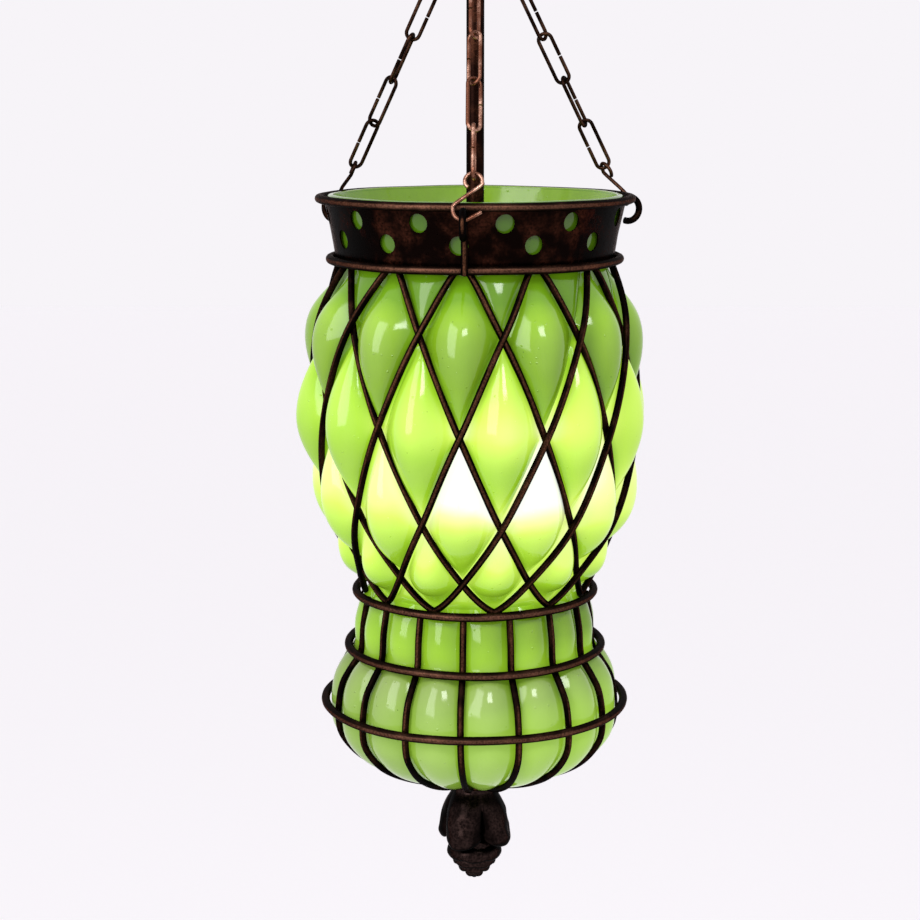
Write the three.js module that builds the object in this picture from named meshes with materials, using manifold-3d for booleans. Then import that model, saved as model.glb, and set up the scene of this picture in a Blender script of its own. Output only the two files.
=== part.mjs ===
// Caged glass pendant lamp: a green glass shade blown through a wire cage, with a pierced metal
// collar and a cast finial, hung by three chains from a crown on a plain stem.
//
// Millimetres, +Z up. The origin is the inside top of the hanging loop's eye, where a hook carries
// the lamp. Heights on the shade are drops: distances down from the middle of the rim ring.
// Angles are in degrees round the lamp, from the front (-Y) towards +X.

import * as THREE from 'three';
import { mergeVertices } from 'three/addons/utils/BufferGeometryUtils.js';
import Module from 'manifold-3d';

const wasm = await Module();
wasm.setup();

// Driving dimensions
const RIM_Z = -205;                 // height of the rim ring below the hanging point
const RING_WIRE = 5;                // round bar of the five hoops
const CAGE_WIRE = 4;                // round bar of the lattice, the bars and the posts
const CHAIN_WIRE = 2.2;             // wire of the chain links and the S-hooks
const CLEARANCE = 0.3;              // between pieces that touch
const CAGE_PHASE = -5.6;            // where the lattice and the bars start round the lamp
const STEM_OD = 10.3;               // lamp pipe
const STEM_ID = 7;

// Each hoop: radius of the bar's middle, drop
const HOOPS = {
  rim_ring: [90.4, 0],
  collar_ring: [84.6, 34.7],
  neck_ring: [71.3, 232.9],
  shoulder_ring: [76.3, 266.2],
  belly_ring: [90.3, 300.3],
};

// The lattice: its crossings lie in six rows, each half a diamond round from the last, and the
// uppermost would lie behind the collar ring
const DIAMONDS = 12;
const LATTICE_ROWS = [[77.8, 31.5], [90.7, 71], [93.4, 126.5], [86.7, 178.8], [73.4, 213.5], [66.2, 231.6]];
const LATTICE_START = 0.2;          // the wires start this far below their first crossing, in rows
const CROSSING_LIFT = 2.2;          // how far each hand of wire stands off the middle where they cross
const GLASS_SINK = 5.5;             // how far the glass is pinched in behind the crossings
const DIAMOND_BULGES = [0, 12, 15, 13.5, 11.2, 0];  // swell of the glass above that, row by row
const DIAMOND_FULLNESS = 0.65;      // 1 is a plain swell, less is a fuller one
const FULLER_LEFT = 0.2;            // the bubble swelled more on its left, by this share at most

// The lower cage: the middle line of a bar from the neck ring to the finial plate
const BARS = 16;
const BAR_LINE = [
  [66.2, 233.8], [69.2, 250], [70.8, 266.2], [77.2, 276.4], [82.6, 286], [85, 300.3],
  [84, 314.3], [76.9, 325.6], [67, 334.2], [53, 341.6], [36.5, 347.8], [17, 353],
];
const BAR_SINK = 3.25;              // how far the glass lies behind the bars
const PANEL_BULGES = [4.6, 6.3, 5.4, 6.7, 6, 5.2, 5, 4.8, 4.4, 3.8, 3, 1.4];  // swell between two bars

// The chains: where each hangs from the crown, and where its hook crosses the post's eye
const EYE_ANGLES = { front: -4, right: 113, left: -121.5 };
const CHAIN_ANGLES = { front: -1, right: 115.5, left: -122.7 };
const CHAIN_TOP = [16.5, -142.3];   // radius, drop
const CHAIN_FOOT = [98.3, 5.9];
const LINKS = 5;
const LINK_PITCH = 28.6;
const LINK_WIDTH = 10;
const LINK_CUT = 0.9;               // the open joint in one side of each link
const LINK_SLACK = 0.9;             // room between a link and the next
const LINK_TWISTS = {               // degrees each link has turned about its chain, the lowest first
  front: [185, 62, 306, 215, 98],
  right: [25, 135, 212, 150, 85],
  left: [118, 182, 75, 330, 86],
};
const HOOK_TWISTS = { front: 90, right: 90, left: 55 };

const material = (color, roughness, metalness) =>
  new THREE.MeshStandardMaterial({ color, roughness, metalness });
const bronze = material(0x2f1d15, 0.45, 0.85);
const copper = material(0x7a4e38, 0.4, 0.9);
const casting = material(0x1d1310, 0.6, 0.7);
const greenGlass = material(0x8cc63a, 0.12, 0);
const brass = material(0xb08d4f, 0.35, 1);
const phenolic = material(0x1b1a19, 0.5, 0);
const opal = material(0xfff6e0, 0.3, 0);

const lamp = new THREE.Group();

function piece(name, geometry, finish) {
  const mesh = new THREE.Mesh(geometry, finish);
  mesh.name = name;
  lamp.add(mesh);
  return mesh;
}

const radians = THREE.MathUtils.degToRad;

// The point at a radius, an angle round the lamp and a drop below the rim ring
function at(radius, angle, drop) {
  const turn = radians(angle);
  return new THREE.Vector3(radius * Math.sin(turn), -radius * Math.cos(turn), RIM_Z - drop);
}

const dropOf = (z) => RIM_Z - z;

// A body turned about the lamp's axis from a profile of [radius, drop] points
function turned(profile, segments, start = 0) {
  const points = profile.map(([radius, drop]) => new THREE.Vector2(radius, RIM_Z - drop));
  if (THREE.ShapeUtils.area(points) < 0) points.reverse();
  const onAxis = points.every((point) => point.x > 0) ? [points[0].clone()] : [];
  return new THREE.LatheGeometry([...points, ...onAxis], segments, radians(start)).rotateX(Math.PI / 2);
}

// A hoop of round bar
function hoop(radius, drop, bar, segments = 30, sides = 5) {
  const profile = [];
  for (let k = 0; k < sides; k += 1) {
    const turn = (2 * Math.PI * (k + 0.5)) / sides;
    profile.push([radius + (bar / 2) * Math.cos(turn), drop + (bar / 2) * Math.sin(turn)]);
  }
  return turned(profile, segments);
}

// A line through points that keeps its corners, so that a bar has one ring of faces at each point
class Route extends THREE.Curve {
  constructor(points) {
    super();
    this.points = points;
  }

  getPoint(t, target = new THREE.Vector3()) {
    const along = Math.min(Math.max(t, 0), 1) * (this.points.length - 1);
    const first = Math.min(Math.floor(along), this.points.length - 2);
    return target.lerpVectors(this.points[first], this.points[first + 1], along - first);
  }

  getPointAt(t, target) {
    return this.getPoint(t, target);
  }

  getTangentAt(t, target) {
    return this.getTangent(t, target);
  }
}

// Round bar bent along a list of points
function bar(points, diameter, sides = 5) {
  const section = new THREE.Shape();
  for (let k = 0; k < sides; k += 1) {
    const turn = (2 * Math.PI * k) / sides;
    const x = (diameter / 2) * Math.cos(turn);
    const y = (diameter / 2) * Math.sin(turn);
    if (k === 0) section.moveTo(x, y);
    else section.lineTo(x, y);
  }
  const steps = points.length - 1;
  return new THREE.ExtrudeGeometry(section, { steps, extrudePath: new Route(points) });
}

// A flat plate standing in the plane through the lamp's axis at an angle; its shape is [radius, z]
function radialPlate(shape, thickness, angle) {
  const options = { depth: thickness, bevelEnabled: false, curveSegments: 5 };
  const plate = new THREE.ExtrudeGeometry(shape, options);
  plate.translate(0, 0, -thickness / 2);
  plate.rotateX(Math.PI / 2);
  return plate.rotateZ(radians(angle - 90));
}

function solid(geometry) {
  const bare = geometry.clone();
  bare.deleteAttribute('normal');
  bare.deleteAttribute('uv');
  const merged = mergeVertices(bare, 1e-4);
  return new wasm.Manifold(new wasm.Mesh({
    numProp: 3,
    vertProperties: new Float32Array(merged.attributes.position.array),
    triVerts: new Uint32Array(merged.index.array),
  }));
}

function geometryOf(body) {
  const mesh = body.getMesh();
  const geometry = new THREE.BufferGeometry();
  geometry.setAttribute('position', new THREE.BufferAttribute(mesh.vertProperties, 3));
  geometry.setIndex(new THREE.BufferAttribute(mesh.triVerts, 1));
  return geometry;
}

const joined = (geometries) => geometryOf(geometries.map(solid).reduce((sum, next) => sum.add(next)));

const cut = (geometry, tools) =>
  geometryOf(tools.map(solid).reduce((rest, tool) => rest.subtract(tool), solid(geometry)));

// A closed skin over rings of points, from the top ring to the bottom one, with a middle point at
// each end. A four-cornered face folds so that it swells, or so that it is pinched where
// pinched(row, column) says so.
function loft(rings, pinched = () => false) {
  const corners = rings.flat();
  const columns = rings[0].length;
  const corner = (row, column) => row * columns + (column % columns);
  const reach = (index) => Math.hypot(corners[index].x, corners[index].y);
  const faces = [];
  for (let row = 0; row < rings.length - 1; row += 1) {
    for (let k = 0; k < columns; k += 1) {
      const [a, b] = [corner(row, k), corner(row, k + 1)];
      const [c, d] = [corner(row + 1, k), corner(row + 1, k + 1)];
      const swells = reach(a) + reach(d) > reach(b) + reach(c);
      if (swells !== pinched(row, k)) faces.push([a, c, d], [a, d, b]);
      else faces.push([a, c, b], [b, c, d]);
    }
  }
  for (const row of [0, rings.length - 1]) {
    corners.push(new THREE.Vector3(0, 0, rings[row][0].z));
    for (let k = 0; k < columns; k += 1) {
      const edge = [corner(row, k), corner(row, k + 1)];
      faces.push([corners.length - 1, ...(row === 0 ? edge : edge.reverse())]);
    }
  }
  const geometry = new THREE.BufferGeometry().setFromPoints(corners);
  geometry.setIndex(faces.flat());
  return geometry;
}

// The outward normal, in the plane of radius and drop, of a line that runs down the lamp
function outward(line, t) {
  const along = line.getTangent(t);
  return new THREE.Vector2(along.y, -along.x);
}

const smooth = (x) => THREE.MathUtils.smoothstep(x, 0, 1);
const splineOf = (points) => new THREE.SplineCurve(points.map(([x, y]) => new THREE.Vector2(x, y)));

// 1. Hanging loop: a cast eye on a collar that screws onto the stem, with a hole for the wire
const EYE_RADIUS = 8;
const EYE_BAR = 4.6;
const COLLAR_TOP = -18.4;
const COLLAR_FOOT = -34;
const STEM_TOP = -25.7;
const eye = new THREE.TorusGeometry(EYE_RADIUS + EYE_BAR / 2, EYE_BAR / 2, 6, 20);
eye.rotateX(Math.PI / 2).translate(0, 0, -EYE_RADIUS);
const collar = turned([
  [0, dropOf(COLLAR_TOP)], [6, dropOf(COLLAR_TOP)], [9, dropOf(COLLAR_TOP - 3)], [9, dropOf(COLLAR_FOOT)],
  [0, dropOf(COLLAR_FOOT)],
], 16);
const WIRE_ROOM = 3.4;              // radius of the hollow over the stem, where the wires turn out
const stemSocket = turned([
  [0, dropOf(STEM_TOP + 4)], [WIRE_ROOM, dropOf(STEM_TOP + 4)], [WIRE_ROOM, dropOf(STEM_TOP + 0.4)],
  [STEM_OD / 2 + 0.35, dropOf(STEM_TOP + 0.4)], [STEM_OD / 2 + 0.35, dropOf(COLLAR_FOOT - 1)],
  [0, dropOf(COLLAR_FOOT - 1)],
], 16);
const wireHole = new THREE.CylinderGeometry(2, 2, 12, 8).translate(0, 6, 0);
wireHole.translate(0, 0, STEM_TOP + 2.2);
piece('hanging_loop', cut(joined([eye, collar]), [stemSocket, wireHole]), bronze);

// 2. Stem: lamp pipe from the hanging loop down to the lampholder
const STEM_FOOT = 80;
piece('stem_tube', turned([
  [STEM_ID / 2, dropOf(STEM_TOP)], [STEM_OD / 2, dropOf(STEM_TOP)],
  [STEM_OD / 2, STEM_FOOT], [STEM_ID / 2, STEM_FOOT],
], 16), bronze);

// 3. Crown: a spun cap that turns on the stem, with a lug for each chain, between two nuts
const LUG_THICKNESS = 3;
const LUG_HOLE = 2.6;
const LUG_SLACK = 0.8;              // room between the top link and the lug's hole
const LUG_RADIUS = 5.6;
const LUG_TAPER = 1;                // each side of a lug leans in by this up to its root, clear of the nut
const LUG_ROOTS = [17.6, 12.6];     // height of a lug's root in the crown above its hole: inside, outside
const CROWN_HUB = [-163, -157];
const chainUp = new THREE.Vector2(CHAIN_TOP[0] - CHAIN_FOOT[0], CHAIN_FOOT[1] - CHAIN_TOP[1]).normalize();
const crownParts = [turned([
  [STEM_OD / 2 + 0.5, CROWN_HUB[0]], [9, CROWN_HUB[0]], [16, -159.4], [22, -155], [25.6, -148],
  [24, -147.2], [20.4, -152.8], [15.4, -156.2], [11, CROWN_HUB[1]], [STEM_OD / 2 + 0.5, CROWN_HUB[1]],
], 24)];
const holeRadius = CHAIN_TOP[0] + chainUp.x * (LUG_HOLE - LUG_SLACK);
const holeZ = RIM_Z - CHAIN_TOP[1] + chainUp.y * (LUG_HOLE - LUG_SLACK);
const lugShape = new THREE.Shape();
lugShape.moveTo(holeRadius - LUG_RADIUS + LUG_TAPER, holeZ + LUG_ROOTS[0]);
lugShape.lineTo(holeRadius - LUG_RADIUS, holeZ);
lugShape.absarc(holeRadius, holeZ, LUG_RADIUS, Math.PI, 2 * Math.PI, false);
lugShape.lineTo(holeRadius + LUG_RADIUS - LUG_TAPER, holeZ + LUG_ROOTS[1]);
const lugHole = new THREE.Path();
lugHole.absarc(holeRadius, holeZ, LUG_HOLE, 0, 2 * Math.PI, true);
lugShape.holes.push(lugHole);
for (const angle of Object.values(CHAIN_ANGLES)) {
  crownParts.push(radialPlate(lugShape, LUG_THICKNESS, angle));
}
piece('chain_crown', joined(crownParts), bronze);

const NUT_FLATS = 17;
const NUT_HEIGHT = 5;
const NUT_TOPS = {
  lock_nut: CROWN_HUB[0] - CLEARANCE - NUT_HEIGHT,
  seat_nut: CROWN_HUB[1] + CLEARANCE,
};
for (const [name, top] of Object.entries(NUT_TOPS)) {
  const hexagon = new THREE.Shape();
  for (let k = 0; k < 6; k += 1) {
    const corner = NUT_FLATS / 2 / Math.cos(Math.PI / 6);
    const [x, y] = [corner * Math.cos((k * Math.PI) / 3), corner * Math.sin((k * Math.PI) / 3)];
    if (k === 0) hexagon.moveTo(x, y);
    else hexagon.lineTo(x, y);
  }
  const thread = new THREE.Path();
  thread.absarc(0, 0, STEM_OD / 2 + 0.4, 0, 2 * Math.PI, true);
  hexagon.holes.push(thread);
  const options = { depth: NUT_HEIGHT, bevelEnabled: false, curveSegments: 8 };
  const nut = new THREE.ExtrudeGeometry(hexagon, options);
  piece(name, nut.translate(0, 0, RIM_Z - top - NUT_HEIGHT), brass);
}

// 4. Chains: five cut links each, the lowest caught by an S-hook that passes through a post's eye
const chainLength = Math.hypot(CHAIN_TOP[0] - CHAIN_FOOT[0], CHAIN_TOP[1] - CHAIN_FOOT[1]);
const HOOK_REACH = chainLength - LINKS * LINK_PITCH;
const HOOK_EYE = 4.7;
const HOOK_RING = [232, 180, 135, 90, 45, 0, -38];
const HOOK_BEND = [[-4.4, 9.6], [-6, 6], [-4.7, 2], [-1.6, 0], [1.6, 0], [5, 1.8], [9.4, 4.4]];
for (const [side, angle] of Object.entries(CHAIN_ANGLES)) {
  const foot = at(CHAIN_FOOT[0], angle, CHAIN_FOOT[1]);
  const up = at(CHAIN_TOP[0], angle, CHAIN_TOP[1]).sub(foot).normalize();
  const sideways = new THREE.Vector3(Math.cos(radians(angle)), Math.sin(radians(angle)), 0);
  const inPlane = new THREE.Vector3().crossVectors(up, sideways);
  const on = (across, x, y) => foot.clone().addScaledVector(across, x).addScaledVector(up, y);
  const turnedBy = (degrees) => inPlane.clone().multiplyScalar(Math.cos(radians(degrees)))
    .addScaledVector(sideways, Math.sin(radians(degrees)));

  for (let k = 0; k < LINKS; k += 1) {
    const across = turnedBy(LINK_TWISTS[side][k]);
    const middle = HOOK_REACH + LINK_PITCH * (k + 0.5);
    const bend = (LINK_WIDTH - CHAIN_WIRE) / 2;
    const straight = LINK_PITCH / 2 + CHAIN_WIRE / 2 + LINK_SLACK / 2 - bend;
    const line = [on(across, bend, middle + LINK_CUT / 2)];
    for (const end of [1, -1]) {
      for (let q = 0; q <= 4; q += 1) {
        const turn = (q * Math.PI) / 4;
        const reach = end * (straight + bend * Math.sin(turn));
        line.push(on(across, end * bend * Math.cos(turn), middle + reach));
      }
    }
    line.push(on(across, bend, middle - LINK_CUT / 2));
    piece(`chain_${side}_link_${k + 1}`, bar(line, CHAIN_WIRE, 4), copper);
  }

  // The hook's ring stands over the chain, and its lower bend reaches across to the eye
  const ringMiddle = HOOK_REACH + (CHAIN_WIRE + CLEARANCE) / 2 - HOOK_EYE;
  const eyeAcross = CHAIN_FOOT[0] * Math.sin(radians(EYE_ANGLES[side] - angle));
  const across = turnedBy(HOOK_TWISTS[side]);
  const hook = HOOK_RING.map((turn) => on(
    across,
    HOOK_EYE * Math.cos(radians(turn)),
    ringMiddle + HOOK_EYE * Math.sin(radians(turn)),
  ));
  for (const [x, y] of HOOK_BEND) hook.push(on(across, x, y).addScaledVector(sideways, eyeAcross));
  piece(`s_hook_${side}`, bar(hook, CHAIN_WIRE, 4), copper);
}

// 5. Posts: three bars from the collar ring up past the rim ring, each curled outwards into an eye
const EYE_CURL = 7.3;
const HOOK_SLACK = 0.9;             // room between the hook and the top of the eye
const eyeInner = EYE_CURL - CAGE_WIRE / 2;
const eyeBelowHook = eyeInner - CHAIN_WIRE / 2 - HOOK_SLACK;
const curlMiddle = [CHAIN_FOOT[0] - chainUp.x * eyeBelowHook, CHAIN_FOOT[1] + chainUp.y * eyeBelowHook];
const POST_LINE = [[0, 38], [0.3, 24], [1.5, 16]];  // how far out from its foot, drop
const postRadius = HOOPS.collar_ring[0] + RING_WIRE / 2 + CLEARANCE + CAGE_WIRE / 2 + 0.1;
for (const [side, angle] of Object.entries(EYE_ANGLES)) {
  const line = POST_LINE.map(([out, drop]) => at(postRadius + out, angle, drop));
  for (let turn = 190; turn > -110; turn -= 30) {
    const [across, up] = [EYE_CURL * Math.cos(radians(turn)), EYE_CURL * Math.sin(radians(turn))];
    line.push(at(curlMiddle[0] + across, angle, curlMiddle[1] - up));
  }
  piece(`post_${side}`, bar(line, CAGE_WIRE), bronze);
}

// 6. Rim, collar, neck, shoulder and belly rings: hoops of round bar, butt-welded
for (const [name, [radius, drops]] of Object.entries(HOOPS)) {
  piece(name, hoop(radius, drops, RING_WIRE), bronze);
}

// 7. Collar band: flared sheet between the rim and collar rings, punched with two rows of holes
const BAND_THICKNESS = 0.9;
const BAND_LINE = [[87.4, 0.6], [83.7, 18.5], [81.2, 35]];
const BAND_HOLE_DROPS = [9.2, 21.3];
const BAND_HOLE_RADIUS = 5.3;
const FIRST_HOLE = 9;
const HOLE_STEP = 15;               // from a hole to the next one, in the other row
const HOLE_SLIPS = [                // how far each hole was punched from its place, in degrees
  1.6, -1.6, -1, -2.1, 1.6, 0.7, -1.2, 0.4, 1.4, -0.6, -1.5, 0.8, 1.1, -0.4, -1.3, 0.6, 1.5, -0.9,
  0.5, 2.2, 0, -0.1, -0.8, -0.6,
];
const bandInside = BAND_LINE.map(([radius, depth]) => [radius - BAND_THICKNESS, depth]).reverse();
const punches = [];
HOLE_SLIPS.forEach((slip, k) => {
  const punch = new THREE.CylinderGeometry(BAND_HOLE_RADIUS, BAND_HOLE_RADIUS, 12, 8);
  punch.translate(0, -84, 0).rotateZ(radians(FIRST_HOLE + HOLE_STEP * k + slip));
  punches.push(punch.translate(0, 0, RIM_Z - BAND_HOLE_DROPS[k % 2]));
});
const bandStart = FIRST_HOLE - HOLE_STEP / 2;
const band = turned([...BAND_LINE, ...bandInside], HOLE_SLIPS.length, bandStart);
piece('collar_band', cut(band, punches), bronze);

// 8. Lattice: wires of both hands from the collar ring to the neck ring, brazed together at their
// two lowest crossings
const latticeLine = splineOf(LATTICE_ROWS);
const rows = LATTICE_ROWS.length - 1;
const halfDiamond = 180 / DIAMONDS;
const BRAZED_ROWS = 1.8;            // over so many rows above the neck ring the two hands close up
const fromEnds = (row) => smooth(row) * smooth((rows - row) / BRAZED_ROWS);
const WIRE_STEPS = 2;               // bends in each row of half diamonds
const wires = [];
for (const hand of [-1, 1]) {
  for (let k = 0; k < DIAMONDS; k += 1) {
    const line = [];
    for (let step = 0; step <= rows * WIRE_STEPS; step += 1) {
      const row = Math.max(step / WIRE_STEPS, LATTICE_START);
      const place = latticeLine.getPoint(row / rows);
      const stands = -hand * CROSSING_LIFT * fromEnds(row);
      line.push(at(place.x + stands, CAGE_PHASE + 2 * halfDiamond * k + hand * halfDiamond * row, place.y));
    }
    wires.push(bar(line, CAGE_WIRE));
  }
}
piece('cage_lattice', joined(wires), bronze);

// 9. Lower bars: from the neck ring inside the shoulder and belly rings to the finial plate
const barLine = splineOf(BAR_LINE);
const barSteps = BAR_LINE.length - 1;
for (let k = 0; k < BARS; k += 1) {
  const line = [];
  for (let step = 0; step <= barSteps; step += 1) {
    const place = barLine.getPoint(step / barSteps);
    line.push(at(place.x, CAGE_PHASE + (360 / BARS) * k, place.y));
  }
  piece(`cage_bar_${String(k + 1).padStart(2, '0')}`, bar(line, CAGE_WIRE), bronze);
}

// 10. Glass shade: blown into the cage, so it swells between the wires and is pinched behind them
const GLASS_MOUTH = [[85.6, -2.2], [84.4, 5], [81.4, 18.5], [79, 33]];
const FACES_PER_HALF = 2;           // columns and rows of faces in each half diamond
const COLUMNS = DIAMONDS * 2 * FACES_PER_HALF;
const bulges = splineOf(DIAMOND_BULGES.map((swell, row) => [row, swell]));
const column = (k) => CAGE_PHASE + (360 / COLUMNS) * k;
const glass = GLASS_MOUTH.map(([radius, depth]) =>
  Array.from({ length: COLUMNS }, (_, k) => at(radius, column(k), depth)));
const firstDiamondRow = glass.length;
for (let step = 0; step <= rows * FACES_PER_HALF; step += 1) {
  const row = Math.max(step / FACES_PER_HALF, LATTICE_START);
  const place = latticeLine.getPoint(row / rows);
  const normal = outward(latticeLine, row / rows);
  const sink = BAR_SINK + (GLASS_SINK - BAR_SINK) * smooth(row * 1.5) * smooth((rows - row) * 1.5);
  const swell = bulges.getPoint(row / rows).y;
  glass.push(Array.from({ length: COLUMNS }, (_, k) => {
    const across = k / (2 * FACES_PER_HALF);
    const [u, v] = [across - row / 2, across + row / 2];
    const full = Math.abs(Math.sin(Math.PI * u) * Math.sin(Math.PI * v));
    const fuller = 1 + FULLER_LEFT * smooth((3.6 - row) / 1.6) * (0.5 - Math.sin(radians(column(k))) / 2);
    const out = swell * fuller * full ** DIAMOND_FULLNESS - sink;
    return at(place.x + normal.x * out, column(k), place.y + normal.y * out);
  }));
}
for (let step = 1; step <= barSteps; step += 1) {
  const t = step / barSteps;
  const place = barLine.getPoint(t);
  const normal = outward(barLine, t);
  const swell = PANEL_BULGES[step];
  glass.push(Array.from({ length: COLUMNS }, (_, k) => {
    const full = Math.abs(Math.sin((Math.PI * k * BARS) / COLUMNS));
    const out = swell * full - BAR_SINK;
    return at(place.x + normal.x * out, column(k), place.y + normal.y * out);
  }));
}
// The faces behind the wires, of either hand
const behindWire = (row, k) => {
  const below = row - firstDiamondRow;
  const [rising, falling] = [k + below + 1, k - below].map((n) => n % (2 * FACES_PER_HALF) === 0);
  return below >= 0 && below < rows * FACES_PER_HALF && (rising || falling);
};
const hollow = turned([
  [0, -6], [83.2, -6], [81.6, 5], [77.4, 25], [74.6, 36], [80.4, 60], [85, 100],
  [84.4, 135], [76.6, 182], [66.5, 208], [60.6, 230], [65.6, 268], [76, 286],
  [79, 303], [77, 313], [71.6, 321.4], [62, 330], [48, 336.8], [34, 342], [0, 345],
], 24);
piece('glass_shade', cut(loft(glass, behindWire), [hollow]), greenGlass);

// 11. Finial: a plate that gathers the bars, a cast cap of folded leaves and a cone of scales
const PLATE = [352.6, 356.6];
piece('finial_plate', turned([
  [0, PLATE[0]], [14.4, PLATE[0]], [14.4, PLATE[1]], [0, PLATE[1]],
], 24), bronze);

const LEAVES = 4;
const LEAF_PHASE = -28;
const LEAF_COLUMNS = 36;
const LEAF_LINE = [
  [14, 357], [17.4, 361.4], [20.4, 368.4], [22, 377], [22.8, 386], [20.6, 393.4], [14.6, 392],
];
const leafRings = LEAF_LINE.map(([radius, depth], row) =>
  Array.from({ length: LEAF_COLUMNS }, (_, k) => {
    const angle = (360 / LEAF_COLUMNS) * k;
    const fold = Math.abs(Math.cos(radians((LEAVES * angle) / 2)));
    const hang = Math.min(row, 4) / 4;
    const rise = row < 6 ? 5 * hang * (1 - fold) : 0;
    return at(radius * (1 - 0.17 * hang * (1 - fold)), angle + LEAF_PHASE, depth - rise);
  }));
piece('finial_leaves', loft(leafRings), casting);

const SCALES = 8;
const SCALE_COLUMNS = 24;
const CONE_LINE = [
  [10, 393.4], [15.6, 395], [17.6, 398.2], [15.6, 401], [15.4, 403], [13.4, 406], [12.6, 408],
  [10.2, 410.8], [8.8, 412.6], [6, 415.4], [3, 417],
];
const coneRings = CONE_LINE.map(([radius, depth], row) =>
  Array.from({ length: SCALE_COLUMNS }, (_, k) => {
    const angle = (360 / SCALE_COLUMNS) * k;
    const stagger = Math.floor(row / 3) % 2 ? 0.5 : 0;
    const round = Math.abs(Math.sin(Math.PI * ((k * SCALES) / SCALE_COLUMNS + stagger)));
    return at(radius * (0.9 + 0.12 * round), angle, depth);
  }));
piece('finial_cone', loft(coneRings), casting);

// 12. Lampholder: a cap on the stem's foot, an insulating body, a screw shell and a contact
const HOLDER = STEM_FOOT;           // every drop below is counted from the stem's foot
piece('holder_cap', turned([
  [STEM_OD / 2 + 0.45, HOLDER - 9], [9, HOLDER - 9], [9, HOLDER - 3], [16, HOLDER + 2], [20.4, HOLDER + 9],
  [20.4, HOLDER + 18], [19, HOLDER + 18], [19, HOLDER + 9.6], [15, HOLDER + 3.6], [5, HOLDER + 0.8],
  [5, HOLDER + 0.4], [STEM_OD / 2 + 0.45, HOLDER + 0.4],
], 16), bronze);
piece('holder_body', turned([
  [0, HOLDER + 11], [18.6, HOLDER + 11], [18.6, HOLDER + 40], [19.8, HOLDER + 41], [19.8, HOLDER + 44],
  [15.4, HOLDER + 44], [15.4, HOLDER + 14.4], [0, HOLDER + 14.4],
], 16), phenolic);
piece('screw_shell', turned([
  [14, HOLDER + 18], [14.8, HOLDER + 18], [14.8, HOLDER + 42], [14, HOLDER + 42],
], 16), brass);
piece('centre_contact', turned([
  [0, HOLDER + 14.8], [3.4, HOLDER + 14.8], [2.4, HOLDER + 18], [0, HOLDER + 18],
], 12), brass);

// 13. Bulb: a screw base and a round glass envelope
const BASE_TOP = HOLDER + 18.4;
const BASE_FOOT = HOLDER + 44;
piece('bulb_base', turned([
  [0, BASE_TOP], [4.2, BASE_TOP], [5.4, BASE_TOP + 2.4], [11.6, BASE_TOP + 5], [13.2, BASE_TOP + 7],
  [13.2, BASE_FOOT], [0, BASE_FOOT],
], 16), brass);
const BULB_RADIUS = 30;
const BULB_MIDDLE = BASE_FOOT + 48;
const bulbLine = [
  [0, BASE_FOOT + CLEARANCE], [13, BASE_FOOT + CLEARANCE], [15, BASE_FOOT + 12], [21, BASE_FOOT + 24],
];
for (let turn = 20; turn >= -70; turn -= 15) {
  const [across, up] = [BULB_RADIUS * Math.cos(radians(turn)), BULB_RADIUS * Math.sin(radians(turn))];
  bulbLine.push([across, BULB_MIDDLE - up]);
}
bulbLine.push([0, BULB_MIDDLE + BULB_RADIUS]);
piece('bulb_glass', turned(bulbLine, 16), opal);

export default lamp;
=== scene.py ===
import math

import bmesh
import bpy
from mathutils import Matrix, Vector, noise
from mathutils.geometry import interpolate_bezier


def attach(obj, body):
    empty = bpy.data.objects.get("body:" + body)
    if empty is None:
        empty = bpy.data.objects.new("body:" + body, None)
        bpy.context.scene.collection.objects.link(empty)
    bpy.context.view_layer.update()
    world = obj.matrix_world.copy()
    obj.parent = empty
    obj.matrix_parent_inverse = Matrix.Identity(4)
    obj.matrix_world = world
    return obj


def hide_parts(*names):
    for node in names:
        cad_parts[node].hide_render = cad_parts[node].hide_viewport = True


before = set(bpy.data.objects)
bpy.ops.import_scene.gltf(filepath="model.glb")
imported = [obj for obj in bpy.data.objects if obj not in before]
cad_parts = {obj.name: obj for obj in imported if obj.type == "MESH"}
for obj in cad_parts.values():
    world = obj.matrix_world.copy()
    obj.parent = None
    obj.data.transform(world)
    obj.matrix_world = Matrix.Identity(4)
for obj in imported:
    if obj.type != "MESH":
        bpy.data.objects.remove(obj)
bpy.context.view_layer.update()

# Caged glass pendant lamp: a green glass shade blown through a wire cage and hung by three chains.
# Metres, +Z up, the origin at the inside top of the hanging loop. Heights on the shade are drops,
# in millimetres below the rim ring's middle, and angles are degrees from the front (-Y) towards +X.

# Camera. It stands level with the chains, a little above the rim, and looks 10.5 degrees down, so
# that the mouth of the shade shows as a narrow ellipse.
MM = 0.001
RIM_Z = -205 * MM
PICTURE_SIDE = 920
FOCAL_PIXELS = 2100
SENSOR_WIDTH = 36
PITCH = 10.5
CAMERA_PLACE = Vector((-8.8, -1228.5, 72.6)) * MM  # from the middle of the rim ring
camera_data = bpy.data.cameras.new("camera")
camera_data.sensor_width = SENSOR_WIDTH
camera_data.lens = SENSOR_WIDTH * FOCAL_PIXELS / PICTURE_SIDE
camera = bpy.data.objects.new("camera", camera_data)
camera.location = Vector((0, 0, RIM_Z)) + CAMERA_PLACE
camera.rotation_euler = (math.radians(90 - PITCH), 0, 0)
bpy.context.scene.collection.objects.link(camera)
bpy.context.scene.camera = camera


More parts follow.
